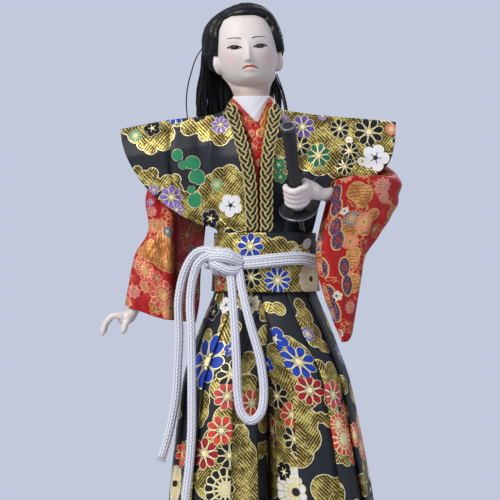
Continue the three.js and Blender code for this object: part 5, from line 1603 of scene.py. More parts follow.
HAKAMA_LOBES = (
    (-20.9, 149.4, 5.7), (-19.5, 143.0, 6.5), (-27.4, 130.1, 4.3), (-31.0, 113.6, 5.0), (-31.7, 107.8, 5.0),
    (-32.4, 103.5, 3.6), (-15.2, 149.4, 3.6), (-10.2, 132.2, 5.7), (-16.6, 123.6, 7.9), (-9.5, 119.3, 7.2),
    (-12.3, 109.3, 7.9), (-22.4, 119.3, 5.7), (-18.1, 103.5, 7.9), (-12.3, 96.4, 4.3), (-23.8, 92.1, 7.9),
    (-15.2, 89.2, 8.6), (-10.2, 86.3, 6.5), (-8.0, 79.9, 5.7), (-12.3, 76.3, 7.2), (-20.9, 78.4, 9.3),
    (-27.4, 72.7, 8.6), (-9.5, 68.4, 8.6), (-38.9, 87.8, 5.7), (-42.5, 107.1, 2.9), (-0.5, 148.0, 3.2),
    (12.1, 141.6, 4.3), (9.2, 134.4, 7.9), (16.4, 135.8, 7.2), (7.0, 127.2, 7.2), (14.9, 125.1, 7.9),
    (19.2, 117.9, 8.6), (10.6, 116.4, 8.6), (4.9, 109.3, 7.9), (14.2, 109.3, 8.6), (19.2, 103.5, 7.2),
    (20.0, 94.9, 7.9), (12.1, 96.4, 8.6), (7.0, 89.2, 7.9), (16.4, 87.8, 7.9), (10.6, 81.3, 7.2),
    (14.9, 77.7, 5.0), (4.9, 84.9, 5.7), (27.1, 130.1, 3.9), (32.9, 128.6, 4.3), (30.0, 123.6, 5.7),
    (35.0, 123.6, 4.3), (30.0, 140.1, 2.9), (20.0, 151.6, 5.0), (25.0, 147.3, 4.3), (38.6, 121.5, 5.0),
    (27.8, 105.0, 2.9), (32.1, 103.5, 3.6), (30.0, 69.1, 7.2), (37.2, 67.7, 7.2), (50.1, 78.4, 5.7),
    (49.4, 71.3, 5.7), (33.6, 107.1, 4.3), (36.5, 87.8, 5.7), (40.8, 84.9, 4.3), (49.4, 92.1, 4.3),
    (-22.8, 164.5, 4.0), (-18.8, 155.3, 3.4), (-20.5, 151.9, 4.0), (0.1, 155.9, 2.9), (1.9, 159.9, 2.9),
    (7.0, 159.3, 3.4), (-0.4, 148.4, 3.2), (17.4, 161.1, 3.4), (19.7, 155.3, 4.6), (17.4, 152.5, 3.4),
    (23.7, 142.7, 2.9), (28.3, 140.4, 2.9), (-10.8, 164.5, 4.6), (-18, 56, 8), (-34, 50, 8), (14, 52, 9),
    (38, 46, 8),
    (-10, 36, 7), (24, 34, 8), (-44, 34, 7), (46, 58, 6))
HAKAMA_BLOOMS = (
    (-28.8, 132.9, 13.3, 8, "blue"), (-16.6, 126.8, 7.5, 8, "black"), (-18.8, 115.7, 7.2, 8, "rose"),
    (-16.6, 139.4, 3.9, 5, "blue"), (-6.9, 112.1, 7.2, 8, "red"), (-21.7, 98.5, 7.5, 8, "red"),
    (-17.7, 86.0, 7.2, 8, "black"), (-30.3, 87.0, 7.9, 8, "crimson"), (-41.0, 86.3, 6.8, 8, "red"),
    (-19.5, 69.1, 10.8, 14, "black"), (-45.0, 72.0, 9.3, 14, "cream"), (4.9, 144.4, 6.5, 5, "blue"),
    (16.4, 132.9, 8.4, 8, "blue"), (6.3, 115.7, 6.8, 8, "black"), (22.5, 118.6, 7.5, 8, "crimson"),
    (33.9, 116.4, 7.2, 8, "rose"), (13.5, 106.4, 6.8, 8, "red"), (3.8, 98.5, 6.5, 8, "crimson"),
    (15.0, 94.2, 6.6, 8, "black"), (40.0, 107.1, 6.1, 10, "red"), (47.2, 102.1, 6.5, 12, "red"),
    (39.3, 94.2, 8.2, 14, "red"), (47.9, 89.9, 5.7, 12, "red"), (21.4, 146.6, 3.6, 12, "blue"),
    (37.2, 136.5, 5.0, 8, "blue"), (15.6, 67.7, 12.2, 16, "white"), (36.4, 101.5, 5.5, 12, "red"),
    (45.0, 96.3, 6.0, 12, "red"), (43.5, 86.5, 5.5, 10, "red"),
    (53.0, 77.7, 5.0, 5, "white"),
    (52.2, 69.1, 5.4, 5, "black"), (0.9, 132.2, 4.3, 5, "blue"), (9.9, 77.7, 5.4, 6, "black"),
    (-25.4, 157.6, 4.5, 5, "ink"), (-19.4, 161.1, 4.3, 5, "white"), (-7.3, 161.1, 4.9, 8, "cream"),
    (-36, 52, 6.5, 8, "rose"), (-14, 50, 6.5, 5, "white"), (34, 48, 7, 8, "red"), (12, 42, 6, 8, "purple"),
    (50, 36, 6, 12, "cream"), (-26, 34, 6.5, 8, "blue"), (-50, 40, 5, 5, "white"), (28, 30, 5.5, 6, "green"))


def build_obi():
    s = sizes()
    bottom, height = s.obi_bottom / MM, s.obi_height / MM

    def point(u, v):
        z = bottom + 0.3 + height * (1 - v)
        turn = math.pi / 2 + math.tau * u
        out = -0.55 + 0.3 * wander(math.cos(turn) * 4, math.sin(turn) * 4, z * 0.22)
        p = obi_point(min(z, bottom + height), out, turn)
        # The cloth sinks in under the doubled belt, and along the fold near its upper edge
        belt = z - belt_height(p.x)
        sag = 0.45 * bump(belt, 3.4) + 0.35 * bump(belt - 11.2, 0.8)
        p.z = z
        return p - Vector((p.x, p.y, 0)).normalized() * sag

    rows = rows_of(200, 38, point)
    bm = sheet_mesh(rows, wrap=True, heights=[row[0].z for row in rows])
    make_cloth("black_obi", bm, "black_brocade", "obi",
               (OBI_LOBES, OBI_BLOOMS, 31, BLACK_BLOOMS, 16.0, (3.0, 6.0)))


# Each leg: height, its middle's X, half width, half depth, and how round its section is
HAKAMA = ((21.5, 28.25, 28.65, 40, 1), (70, 25, 25.4, 36.3, 1), (102, 22.6, 23, 32.6, 1),
          (126, 20.6, 21, 29.5, 0.9), (152, 10, 22.2, 24.5, 0.5), (170, 4, 20.4, 18.2, 0))
PLEATS = 10
PLEAT_RAMP = 0.88
PLEAT_OVERLAP = 0.17


def hakama_point(side, z, angle, levels):
    x, half_width, half_depth, depth = levels
    shift = 3.6 * smooth(170 - z, 0, 150)
    power = mix(1, 0.8, depth)
    share = smooth(abs(math.sin(angle)), 0.2, 0.6)
    # Knife pleats: each flap's edge overhangs the deep end of its neighbour, towards the middle in front
    inward_angle = angle if side > 0 else math.pi - angle
    fold = (inward_angle / math.tau * PLEATS + (0.611 if side < 0 else 0.944)) % 1
    ramp = fold / PLEAT_RAMP if fold < PLEAT_RAMP else (1 - fold) / (1 - PLEAT_RAMP)
    pleat = sizes().pleat_depth / MM * max(depth, 0.45) * share * ramp
    angle += side * share * PLEAT_OVERLAP * (ramp - 0.5) * min(1, 24 / half_width)
    soft = 0.5 * wander(math.cos(angle) * 2.2 + side * 5, math.sin(angle) * 2.2, z * 0.02)
    a, b = half_width - 0.5 - pleat + soft, half_depth - 0.5 - pleat + soft
    return Vector((side * x + shift + a * signed_power(math.cos(angle), power),
                   b * signed_power(math.sin(angle), power), z))


def build_hakama():
    hem = sizes().hem_height / MM
    waist = 169.6
    across, down = 250, 98
    heights, *measures = zip(*HAKAMA)
    bm = bmesh.new()
    for side in (-1, 1):
        rows = []
        for k in range(down + 1):
            z = mix(waist, hem, k / down)
            window = np.clip(np.linspace(z - 7, z + 7, 15), hem, 170)
            levels = [float(np.mean(np.interp(window, heights, row))) for row in measures]
            rows.append([hakama_point(side, z, math.pi / 2 + math.tau * i / across, levels)
                         for i in range(across + 1)])
        cloth_rows(bm, rows, wrap=True, shift=side * 120, heights=[row[0].z for row in rows])
    make_cloth("black_hakama", bm, "black_brocade", "hakama",
               (HAKAMA_LOBES, HAKAMA_BLOOMS, 41, BLACK_BLOOMS, 18.0, (4.0, 8.0)))


def build_back_board():
    s = sizes()
    bottom, height = s.obi_bottom / MM, s.obi_height / MM

    def point(share, t):
        u = -1 + 2 * share
        turn = math.radians(90 - u * mix(20, 31, t))
        radius = mix(24.2, 22.2, min(1, 1.6 * t)) + 0.35 * (1 - u * u)
        return Vector((27 * math.cos(turn), radius * math.sin(turn) ** 0.7,
                       bottom + mix(height + 4, 21.5, t)))

    bm = sheet_mesh(rows_of(46, 24, point))
    made = make_cloth("black_back_board", bm, "black_brocade", "hakama_back_board",
                      ((), (), 51, BLACK_BLOOMS, 14.0, (2.5, 4.5)), wall=1.3,
                      toward=lambda p: Vector((0, 1, 0)))
    bevel = made.modifiers.new("Rounded edge", "BEVEL")
    bevel.width, bevel.segments = 0.3 * MM, 3


# Arms and sleeves

# Each station of a sleeve: its top, middle and lower end, which way its front looks, and half its thickness
RIGHT_SLEEVE = (
    ((-26.4, 0.6, 243), (-27, 0.6, 234), (-26.2, 0.6, 224), 90, 5),
    ((-48, 1.5, 239), (-40, 1.5, 229), (-30.6, 1.5, 216), 90, 6.2),
    ((-59.4, 1.5, 217), (-46, 1.5, 212), (-29.4, 1.5, 205), 90, 7),
    ((-58.4, 1, 199), (-46, 1, 196), (-30.6, 1, 190.6), 90, 7.2),
    ((-65, 0, 186.5), (-49, 0, 182), (-32.0, 0, 177), 90, 7.6),
    ((-68.2, -0.5, 171.4), (-51, -0.5, 166), (-32.6, -0.5, 163), 90, 8),
    ((-70, -1, 161.4), (-51, -1, 154.8), (-34.4, -1, 152.4), 90, 7.6))
LEFT_SLEEVE = (
    ((16.7, 0, 244), (18.4, 0, 234), (17.9, 0, 223), 90, 5),
    ((30, 1.5, 243), (30, 1.5, 231), (30, 1.5, 213), 90, 5.4),
    ((44, 3, 240), (43, 3, 225), (42, 3, 207), 90, 5.6),
    ((57, 2, 233), (56, 2, 217), (53, 1, 199), 50, 5.4),
    ((62.5, -7, 226), (60, -7, 213), (54, -6.5, 199), -14, 6),
    ((54, -15.5, 225.4), (51, -15.5, 204), (45, -14, 178), -60, 5.4),
    ((43, -21, 225), (40, -21, 190), (42, -18, 148), -74, 5.6),
    ((33, -24, 222.6), (26, -22, 185), (37.5, -18, 143.5), -78, 6))
SLEEVE_LOBES = {
    "right": (
        (-52.2, 184.8, 5.8), (-49.6, 187.4, 5.8), (-56.4, 187.4, 4.7), (-48.0, 181.6, 4.2),
        (-60.1, 186.9, 3.7), (-52.2, 201.1, 3.2), (-50.1, 194.3, 3.7), (-54.3, 161.1, 3.2),
        (-40.7, 161.1, 3.2), (-44.9, 155.9, 3.2)),
    "left": (
        (46.5, 217.6, 5.0), (49.9, 216.5, 5.0), (48.2, 212.6, 3.3), (54.3, 207.0, 3.3), (43.7, 187.5, 3.3),
        (43.2, 183.0, 3.3), (42.1, 197.5, 2.8), (42.1, 200.8, 3.3)),
}
SLEEVE_BLOOMS = {
    "right": (
        (-60.1, 179.0, 5.8, 12, "rose"), (-54.3, 174.8, 3.7, 8, "rose"), (-56.4, 208.0, 3.2, 8, "pink"),
        (-57.2, 212.4, 2.2, 8, "purple"), (-65.7, 168.0, 3.6, 8, "pink"), (-51.2, 166.4, 7.1, 12, "rose"),
        (-48.0, 159.5, 5.5, 12, "coral"), (-68.8, 162.7, 3.2, 8, "coral"), (-54.9, 201.1, 4.2, 10, "coral"),
        (-64.6, 181.6, 2.5, 8, "pink"), (-32.8, 168.5, 5.8, 10, "crimson"), (-35.4, 186.9, 4.2, 5, "slate"),
        (-39.1, 196.4, 4.2, 10, "crimson"), (-49.1, 198.0, 3.2, 5, "slate"), (-60.1, 170.6, 3.2, 8, "coral")),
    "left": (
        (35.6, 216.2, 3.7, 24, "violet"), (35.9, 210.3, 3.1, 24, "violet"), (42.9, 204.5, 3.9, 12, "slate"),
        (36.2, 200.3, 3.1, 24, "violet"), (37.0, 193.0, 3.2, 24, "violet"), (39.5, 180.8, 3.2, 24, "violet"),
        (40.1, 171.8, 3.5, 24, "violet"), (28.1, 177.4, 3.5, 24, "violet"), (31.7, 165.1, 3.7, 24, "violet"),
        (33.7, 156.8, 4.2, 24, "violet"), (36.8, 165.1, 2.7, 6, "cream"), (58.5, 220.4, 4.5, 10, "pink"),
        (59.4, 214.8, 2.8, 10, "pink"), (42.3, 160.1, 3.5, 10, "pink"), (48.8, 202.0, 5.0, 14, "coral"),
        (42.6, 193.6, 3.7, 12, "coral"), (37.3, 146.7, 2.5, 8, "white"), (39.8, 208.1, 2.1, 5, "cream"),
        (54.3, 199.7, 3.3, 10, "crimson")),
}
ARM_WIRES = {
    "right": ((-46, 1.5, 212), (-56, 0, 186), (-63.6, -1, 165)),
    "left": ((44, 3, 229), (55, 2, 221), (61.4, -7, 217.5), (53.6, -15.4, 217), (42, -21.2, 217),
             (33, -23.8, 217)),
}
ARM_BODY = {"right": "right_arm", "left": "figure"}


def ease_through(values, t):
    """Catmull-Rom through a list of equal-length tuples, at a share of the list."""
    spot = t * (len(values) - 1)
    k = min(int(spot), len(values) - 2)
    w = spot - k
    a, b, c, d = (np.array(values[min(max(k + j, 0), len(values) - 1)], float) for j in (-1, 0, 1, 2))
    return 0.5 * (2 * b + (c - a) * w + (2 * a - 5 * b + 4 * c - d) * w * w
                  + (3 * b - a - 3 * c + d) * w ** 3)


def right_creases(p, u, v, face):
    """How far the right sleeve's cloth lies out: its inner front lies back behind a ridge."""
    bulge = abs(face)
    out = 0
    if face < 0:
        out += 6.5 * smooth(p.x, -47.5, -43.5) * smooth(v, 0.3, 0.5)
        out += 0.8 * math.sin(p.x * 0.42 + p.z * 0.05) * smooth(v, 0.25, 0.6)
        out -= 1.2 * bump(p.x + 48.5, 1.8) * smooth(v, 0.3, 0.5)
    out += 0.7 - 1.6 * abs(wander(p.x * 0.10 + p.z * 0.05, p.z * 0.045, 7.0))
    out += 0.45 - 0.9 * abs(wander(p.x * 0.22 - p.z * 0.07, p.z * 0.12, 17.0))
    return (out + 0.25 * wander(p.x * 0.5, p.z * 0.16, 3.0)) * bulge


def left_creases(p, u, v, face):
    """How far the left sleeve's cloth lies out: it is gathered where it hangs from the fist."""
    out = 1.2 * math.sin(v * math.tau * 6.5 + 1.2 * u) * smooth(u, 0.25, 0.6) * smooth(v, 0.5, 0.75)
    out += 0.7 - 1.6 * abs(wander(v * 9.0, p.z * 0.035, 5.0))
    out += 0.4 - 0.8 * abs(wander(v * 22.0 + p.z * 0.04, p.z * 0.08, 9.0))
    elbow = smooth(v, 0.3, 0.45) * (1 - smooth(v, 0.62, 0.8)) * (1 - u)
    return (out + 0.8 * math.sin(p.z * 0.55 + p.x * 0.4) * elbow) * abs(face)


def sleeve_rows(stations, creases, across, along):
    flat = [(*top, *middle, *low, facing, half) for top, middle, low, facing, half in stations]
    rows = []
    for k in range(along + 1):
        v = k / along
        now = ease_through(flat, v)
        spine = Path([now[0:3], now[3:6], now[6:9]], steps=8)
        facing = math.radians(now[9])
        outward = Vector((math.cos(facing), math.sin(facing), 0))
        half = now[10] - 0.5
        inset = 0.5 / spine.length
        row = []
        for i in range(across + 1):
            turn = math.tau * i / across
            u = (1 - math.cos(turn)) / 2
            p = spine.at(mix(inset, 1 - inset, u))
            face = signed_power(math.sin(turn), 0.5 if u < 0.5 else 1)
            row.append(p + outward * (half * face + creases(p, u, v, face)))
        rows.append(row)
    return rows


def build_sleeves():
    for side, stations, creases in (("right", RIGHT_SLEEVE, right_creases),
                                    ("left", LEFT_SLEEVE, left_creases)):
        bm = sheet_mesh(sleeve_rows(stations, creases, 130, 110), wrap=True, centre=0.0)
        make_cloth("red_sleeve_" + side, bm, "red_brocade", side + "_sleeve",
                   (SLEEVE_LOBES[side], SLEEVE_BLOOMS[side], 61, RED_BLOOMS, 24.0, (2.6, 5.0)),
                   body=ARM_BODY[side])


def fluff(made, size, seed):
    for vertex in made.data.vertices:
        x, y, z = vertex.co / MM
        push = wander(x * 0.35, y * 0.35, z * 0.35 + seed) + 0.5 * wander(x * 1.1, y * 1.1, z * 1.1)
        vertex.co += vertex.normal * (push * size * MM)


def build_wadding():
    for side, sign in (("right", -1), ("left", 1)):
        def leg(u, v):
            turn = math.tau * u
            swell = 0.96 * (1 + 0.04 * math.sin(math.pi * v))
            return Vector((sign * mix(11.5, 25.99, v) + 3.6 * v + mix(9, 19.2, v) * swell * math.cos(turn),
                           mix(0, -1, v) + mix(13, 24.8, v) * swell * math.sin(turn), mix(123.6, 31.0, v)))

        bm = bmesh.new()
        cloth_grid(bm, 96, 80, leg, wrap=True, ends=True)
        made = make_piece("leg_padding_" + side, bm, "wadding", "leg_wadding_" + side)
        fluff(made, 0.5, sign * 3.0)
        bm = bmesh.new()
        limb(bm, ARM_WIRES[side], (2.5, 2.25, 2.0), sides=24, steps=70, tip=0.97)
        made = make_piece("arm_padding_" + side, bm, "wadding", side + "_arm_wadding", ARM_BODY[side])
        fluff(made, 0.22, sign * 5.0)


# Hands

def build_right_hand():
    """A loose hand that points down, its four fingers apart."""
    bm = bmesh.new()
    for y, reach in ((-5.4, 0.9), (-2.6, 1), (0.2, 1), (2.8, 0.88)):
        limb(bm, [(-71, y * 0.8 - 0.6, 155.6), (-75.6, y, 156), (-75.8 - 4.2 * reach, y, 151.6),
                  (-76 - 5.4 * reach, y, 151.6 - 6 * reach)],
             (1.7, 1.62, 1.42, 1.5, 1.3, 1.32, 1.1), sides=20, steps=30)
    limb(bm, [(-64.1, -1, 162.2), (-64.9, -1, 159.6), (-69.2, -1.4, 155), (-72.8, -1.4, 155.8)],
         (2.7, 2.6, 2.9, 3.5, 3.5, 2.9), sides=26, steps=30, flat=1.4, squeeze=(0, 1, 0), tip=0.93)
    limb(bm, [(-67.6, -3.6, 155.5), (-69.4, -5.4, 151.6), (-70.6, -5.2, 147)], (2.0, 1.9, 1.55, 1.6, 1.3),
         sides=20, steps=26)
    make_piece("vinyl_hand_right", fuse(bm, 0.32), "skin_vinyl", "right_hand", "right_arm", "skin",
               outward=False)


def build_left_hand():
    """A fist closed round the hilt, whose fingers leave the hilt's own room free."""
    bm = bmesh.new()
    grip, hilt_room = 4.9, 3.1
    for along, tip_radius in ((6.0, 1.6), (8.9, 1.5), (11.8, 1.4), (14.5, 1.6)):
        points = []
        for degrees in (28, -12, -60, -110, -160, -205):
            reach = grip * (1.1 if degrees > 20 else 1.0)
            points.append(round_sword(along, reach, math.radians(degrees)))
        limb(bm, points, (1.9, 1.85, 1.72, 1.8, 1.68, 1.72, tip_radius), sides=20, steps=40)
    limb(bm, [(32.6, -23.6, 216.4), (28, -25.0, 215.6), on_sword(10.4, 6.2, 1.2), on_sword(10.4, 4, 4.2)],
         (2.6, 2.8, 3.1, 3.9, 3.9, 3.6), sides=26, steps=30, flat=1.14, squeeze=SWORD_UP, tip=0.93)
    limb(bm, [on_sword(12.8, 6.4, 0.4), on_sword(15.4, 4.4, -4.0), on_sword(16.0, -0.6, -5.8)],
         (1.9, 1.8, 1.6, 1.5, 1.2), sides=20, steps=26)
    bm = fuse(bm, 0.32)
    for vertex in bm.verts:
        p = vertex.co / MM - GUARD
        along = p.dot(SWORD_UP)
        out = p - SWORD_UP * along
        if out.length < hilt_room:
            vertex.co = (GUARD + SWORD_UP * along + out.normalized() * hilt_room) * MM
    make_piece("vinyl_hand_left", bm, "skin_vinyl", "left_hand", slot="skin", outward=False)


# Head and hair

def face_form(direction):
    x, y, z = direction
    p = Vector((14.7 * x, 16.4 * y, 18.4 * z))
    if z < 0:
        jaw = (-z) ** 2.2
        full = math.sqrt((1 + z * z * z) / (1 - z * z)) if z > -0.999 else 1.22
        p.x *= full * (1 + 0.12 * jaw)
        p.y *= (full if y < 0 else 1) * (1 - (0.16 if y < 0 else 0.42) * jaw)
        p.z *= 1 + 0.19 * smooth(-z, 0.3, 1)
    front = smooth(-y, 0.15, 0.7)
    brow = 0.9 * bump(p.z - 6, 7) * bump(p.x, 9)
    nose = 2.7 * bump(p.x, 1.5) * smooth(-p.z, -3.5, 7.4) * (1 - smooth(-p.z, 7.4, 9.2))
    wings = 0.6 * bump(abs(p.x) - 1.8, 0.8) * bump(p.z + 7.3, 1.3)
    sockets = 0.9 * (bump(p.x - 6.2, 3.4) + bump(p.x + 6.2, 3.4)) * bump(p.z + 0.7, 2.4)
    lids = 0.4 * bump(abs(p.x) - 6.3, 3.0) * bump(p.z + 1.2, 1.5)
    lips = 0.75 * bump(p.x, 3) * bump(p.z + 10.4, 0.85) + 0.65 * bump(p.x, 2.5) * bump(p.z + 12.3, 0.9)
    parting = 0.35 * bump(p.x, 2.8) * bump(p.z + 11.3, 0.45)
    chin = 1.5 * bump(p.x, 4.5) * bump(p.z + 16.6, 3)
    p.y += front * (brow - nose - wings + sockets - lids - lips + parting - chin)
    return p


NECK_LEVELS = (
    (251.5, 262, 266.5, 270, 272.8, 275.3, 277.5, 280.8),
    (-6.5, -6.5, -6.8, -7.3, -7.7, -8.1, -8.6, -8.8),
    (8.6, 8.6, 8.9, 9.9, 11.3, 13.2, 13.9, 12.0),
    (8.6, 8.4, 8.3, 8.5, 9.0, 9.6, 10.2, 9.8))


def build_head():
    turn = head_matrix()
    bm = bmesh.new()
    ball = bmesh.ops.create_icosphere(bm, subdivisions=6, radius=1)["verts"]
    for vertex in ball:
        vertex.co = (turn @ face_form(vertex.co)) * MM
    for side in (-1, 1):
        shell = bmesh.ops.create_icosphere(bm, subdivisions=5, radius=1)["verts"]
        for vertex in shell:
            d = vertex.co.copy()
            p = Vector((2.3 * d.x, 3.2 * d.y * (1 - 0.2 * max(-d.z, 0)), 4.9 * d.z))
            bowl = bump(d.y + 0.1, 0.42) * bump(d.z - 0.15, 0.5) * smooth(d.x * side, 0.1, 0.8)
            p.x -= side * 1.5 * bowl
            p += Vector((side * (15.9 - 1.2 * max(-d.z, 0)), 1.5, -8.8))
            vertex.co = (turn @ p) * MM

    def neck(u, v):
        z = mix(NECK_LEVELS[0][0], NECK_LEVELS[0][-1], v)
        x, wide, deep = (float(np.interp(z, NECK_LEVELS[0], row)) for row in NECK_LEVELS[1:])
        y = 0.6 + 3.6 * smooth(z, 262, 275)
        return Vector((x + wide * math.cos(math.tau * u), y + deep * math.sin(math.tau * u), z))

    cloth_grid(bm, 90, 60, neck, wrap=True, ends=True)
    make_piece("vinyl_head", fuse(bm, 0.3), "painted_face", "head", "head", "skin", outward=False)


def bare_of_hair(p):
    """Whether the hair leaves this place of the skull free: the face, the ears and the nape."""
    if p.z < -11:
        return True
    for side in (-1, 1):
        if ((p.x - side * 14.6) / 3.0) ** 2 + ((p.y - 1.5) / 3.8) ** 2 + ((p.z + 8.8) / 5.6) ** 2 < 1:
            return True
    if p.y > 1:
        return False
    heights, widths = [-26, -3, 8, 12.6, 14.2], [13.6, 14.6, 12.6, 10, 6]
    return p.z < 14.2 and abs(p.x) < float(np.interp(p.z, heights, widths))


def build_hair_cap():
    """Combed back from the hairline to the tie, with grooves between the locks."""
    turn = head_matrix()
    pole = Vector((-0.13, 0.965, 0.20)).normalized()
    across_axis = Vector((1, 0, 0))
    across_axis = (across_axis - pole * across_axis.dot(pole)).normalized()
    up_axis = across_axis.cross(pole)
    around, along = 360, 96

    def away(angle, theta):
        aim = across_axis * math.cos(angle) + up_axis * math.sin(angle)
        return pole * math.cos(theta) + aim * math.sin(theta), aim

    reach = []
    for i in range(around):
        theta = 0.15
        while theta < 2.9 and not bare_of_hair(face_form(away(math.tau * i / around, theta)[0])):
            theta += 0.008
        reach.append(theta)
    for _ in range(3):
        reach = [0.25 * reach[i - 1] + 0.5 * reach[i] + 0.25 * reach[(i + 1) % around] for i in range(around)]

    def place(u, v):
        i = round(u * around) % around
        angle = math.tau * i / around
        d, aim = away(angle, reach[i] * (0.012 + 0.988 * v))
        p = face_form(d)
        behind = smooth(d.y, -0.4, 0.9)
        rim = math.sqrt(max(1 - ((v - 0.9) / 0.1) ** 2, 0)) if v > 0.9 else 1.0
        # Fibres leave the tie straight and turn to run along the hairline
        sweep = smooth(v, 0.5, 0.8) * smooth(up_axis.dot(aim), -0.4, 0.4)
        comb = mix(angle * 13, v * 26 + angle * 1.5, sweep)
        groove = 0.34 * wander(comb, v * 1.2, 2.0) + 0.20 * wander(comb * 2.7, v * 2, 5.0)
        part = 1.1 * bump(v - 0.83 - 0.02 * math.sin(angle * 3), 0.02) * sweep
        part += 0.5 * bump(v - 0.70, 0.014) * sweep * smooth(-d.x, -0.3, 0.4)
        full = 2.7 * (1 + 0.9 * behind) * (1 - 0.14 * smooth(d.z, 0.5, 1))
        full *= 1 + 0.22 * smooth(d.x, 0.3, 0.9)
        thick = max((full + groove - part) * rim, 0) - 0.35 * (1 - rim)
        p *= 1 + thick / p.length
        p.x -= 7.0 * behind * smooth(-d.x, -0.1, 0.85) * smooth(v, 0.0, 0.15) * (1 - smooth(v, 0.75, 1.0))
        p.x += 2.2 * smooth(d.z, 0.35, 1.0) * rim
        return turn @ p

    bm = bmesh.new()
    cloth_grid(bm, around, along, place, lambda u, v, p: (u * 110.0, v * 40.0), wrap=True)
    crown = (turn @ (face_form(pole) * 1.2)) * MM
    hole = [e for e in bm.edges if e.is_boundary and (e.verts[0].co - crown).length < 0.004]
    bmesh.ops.contextual_create(bm, geom=hole)
    make_piece("black_hair_cap", bm, "hair_fibre", "hair_cap", "head", "hair")


# The tail below its tie: shift to the side, drop, half width and half thickness, down to its full length
TAIL_STATIONS = ((0, 0, 2.6, 2.2), (-1, 8, 9.6, 3.2), (-1, 20, 19.0, 3.4), (0, 38, 22.3, 3.0),
                 (0.6, 62, 18, 2.6))
TAIL_END = (0.8, 11, 1.8)
LOOSE_HAIRS = (
    ((-30.5, 6, 292.0), (-34.6, 9, 286.2), (-37.4, 13, 279.0), (-39.4, 16, 271.5), (-40.1, 18, 263),
     (-39.0, 19, 252)),
    ((6.0, 10, 278), (8.2, 14, 273.0), (10.2, 17, 267), (11.6, 18, 260), (12.2, 19, 250)),
    ((5.4, 11, 277), (7.8, 15, 272.4), (9.9, 17, 266), (11.2, 18, 259), (11.6, 19, 249)),
    ((4.6, 12, 276), (7.2, 15, 271.6), (9.4, 17, 265), (10.6, 18, 258), (11.0, 19, 248)))


def tail_strand(n, wheel, root, stations):
    """The points of one hanging strand. Its share says how far to the side it hangs."""
    share = wheel.uniform(-0.98, 0.98)
    if n < 70:
        share = wheel.uniform(-0.97, -0.84)
    elif -0.84 < share < -0.72 or 0.80 < share < 0.87:
        share = wheel.uniform(-0.7, 0.78)
    deep = wheel.uniform(-1, 1) * math.sqrt(1 - share * share * 0.8)
    cut = wheel.uniform(0.72, 1.0)
    points = []
    for shift, drop, wide, thick in stations:
        wave = 0.35 * wander(n * 3.7, drop * 0.03) if drop > 10 else 0
        points.append(root + Vector((shift + wide * share + wave, 3 + 0.03 * drop + thick * deep,
                                     1.0 - drop * cut)))
    if share < -0.4:
        # These leave the side of the bun instead of the tie
        out = (-share - 0.4) / 0.6
        points[0] = root + Vector((mix(-6, -15.5, out), -4 + 3 * deep, 6))
        points[1] = root + Vector((mix(-8, -18.8, out), -1 + 3 * deep, -4))
        points[2].x += 0.05 * (points[1].x - points[2].x)
    return points


def build_hair_tail():
    """Strands tied behind the crown fall behind the neck, fan out and hang down the back."""
    turn = head_matrix()
    root = turn @ Vector((-3, 21.8, 3))
    wheel = random.Random(7)
    shift, wide, thick = TAIL_END
    stations = (*TAIL_STATIONS, (shift, sizes().hair_length / MM, wide, thick))
    bm = bmesh.new()
    for n in range(430):
        points = tail_strand(n, wheel, root, stations)
        r = wheel.uniform(0.3, 0.5)
        limb(bm, points, (r, r, r * 0.95, r * 0.8, 0.14), sides=6, steps=22, tip=0.97)
    for points in LOOSE_HAIRS:
        limb(bm, points, (0.3, 0.36, 0.36, 0.3), sides=6, steps=26, tip=0.97)
    # Locks swept back from the temple into the tail
    for _ in range(70):
        a = wheel.uniform(0, 1)
        start = turn @ Vector((-15.8 - 1.2 * a, 2 + 10 * a, 3.5 - 7 * a))
        middle = Vector((-30.5 + 3.0 * a + wheel.uniform(-1, 1), 12 + 7 * a, 278 + wheel.uniform(-2, 2)))
        end = Vector((-31 + 9 * a + wheel.uniform(-1, 1), 21 + wheel.uniform(-1, 2),
                      254 - wheel.uniform(0, 16)))
        limb(bm, [start, start.lerp(middle, 0.5) + Vector((-1.2, 2, 0)), middle, end], (0.4, 0.45, 0.42, 0.2),
             sides=6, steps=18, tip=0.97)
    made = make_piece("black_hair_tail", bm, "hair_fibre", "hair_tail", body=None, slot="hair")
    x, y, z = root * MM
    z - 0.006
    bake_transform(made)

    bm = bmesh.new()
    centre = root + Vector((0, 3, 1.2))
    profile = ((-1.7, 2.6), (-1.6, 3.7), (-1.2, 4.1), (-0.8, 4.0), (-0.4, 4.2), (0, 4.05), (0.4, 4.2),
               (0.8, 4.0), (1.2, 4.1), (1.6, 3.7), (1.7, 2.6))
    turned(bm, profile, lambda along, radius, angle: centre + Vector((
        radius * math.cos(angle), along, radius * math.sin(angle))))
    make_piece("black_hair_tie", bm, "black_lacquer", "hair_tie", "head", "hair")


# Feet and base

BASE_TOP = 12.0
SOLE_TOP = 15.5
FOOT_LENGTH = 33.0
FOOT_WIDTH = 12.5
FOOT_X = 19.0
ANKLE_Y = -12.0


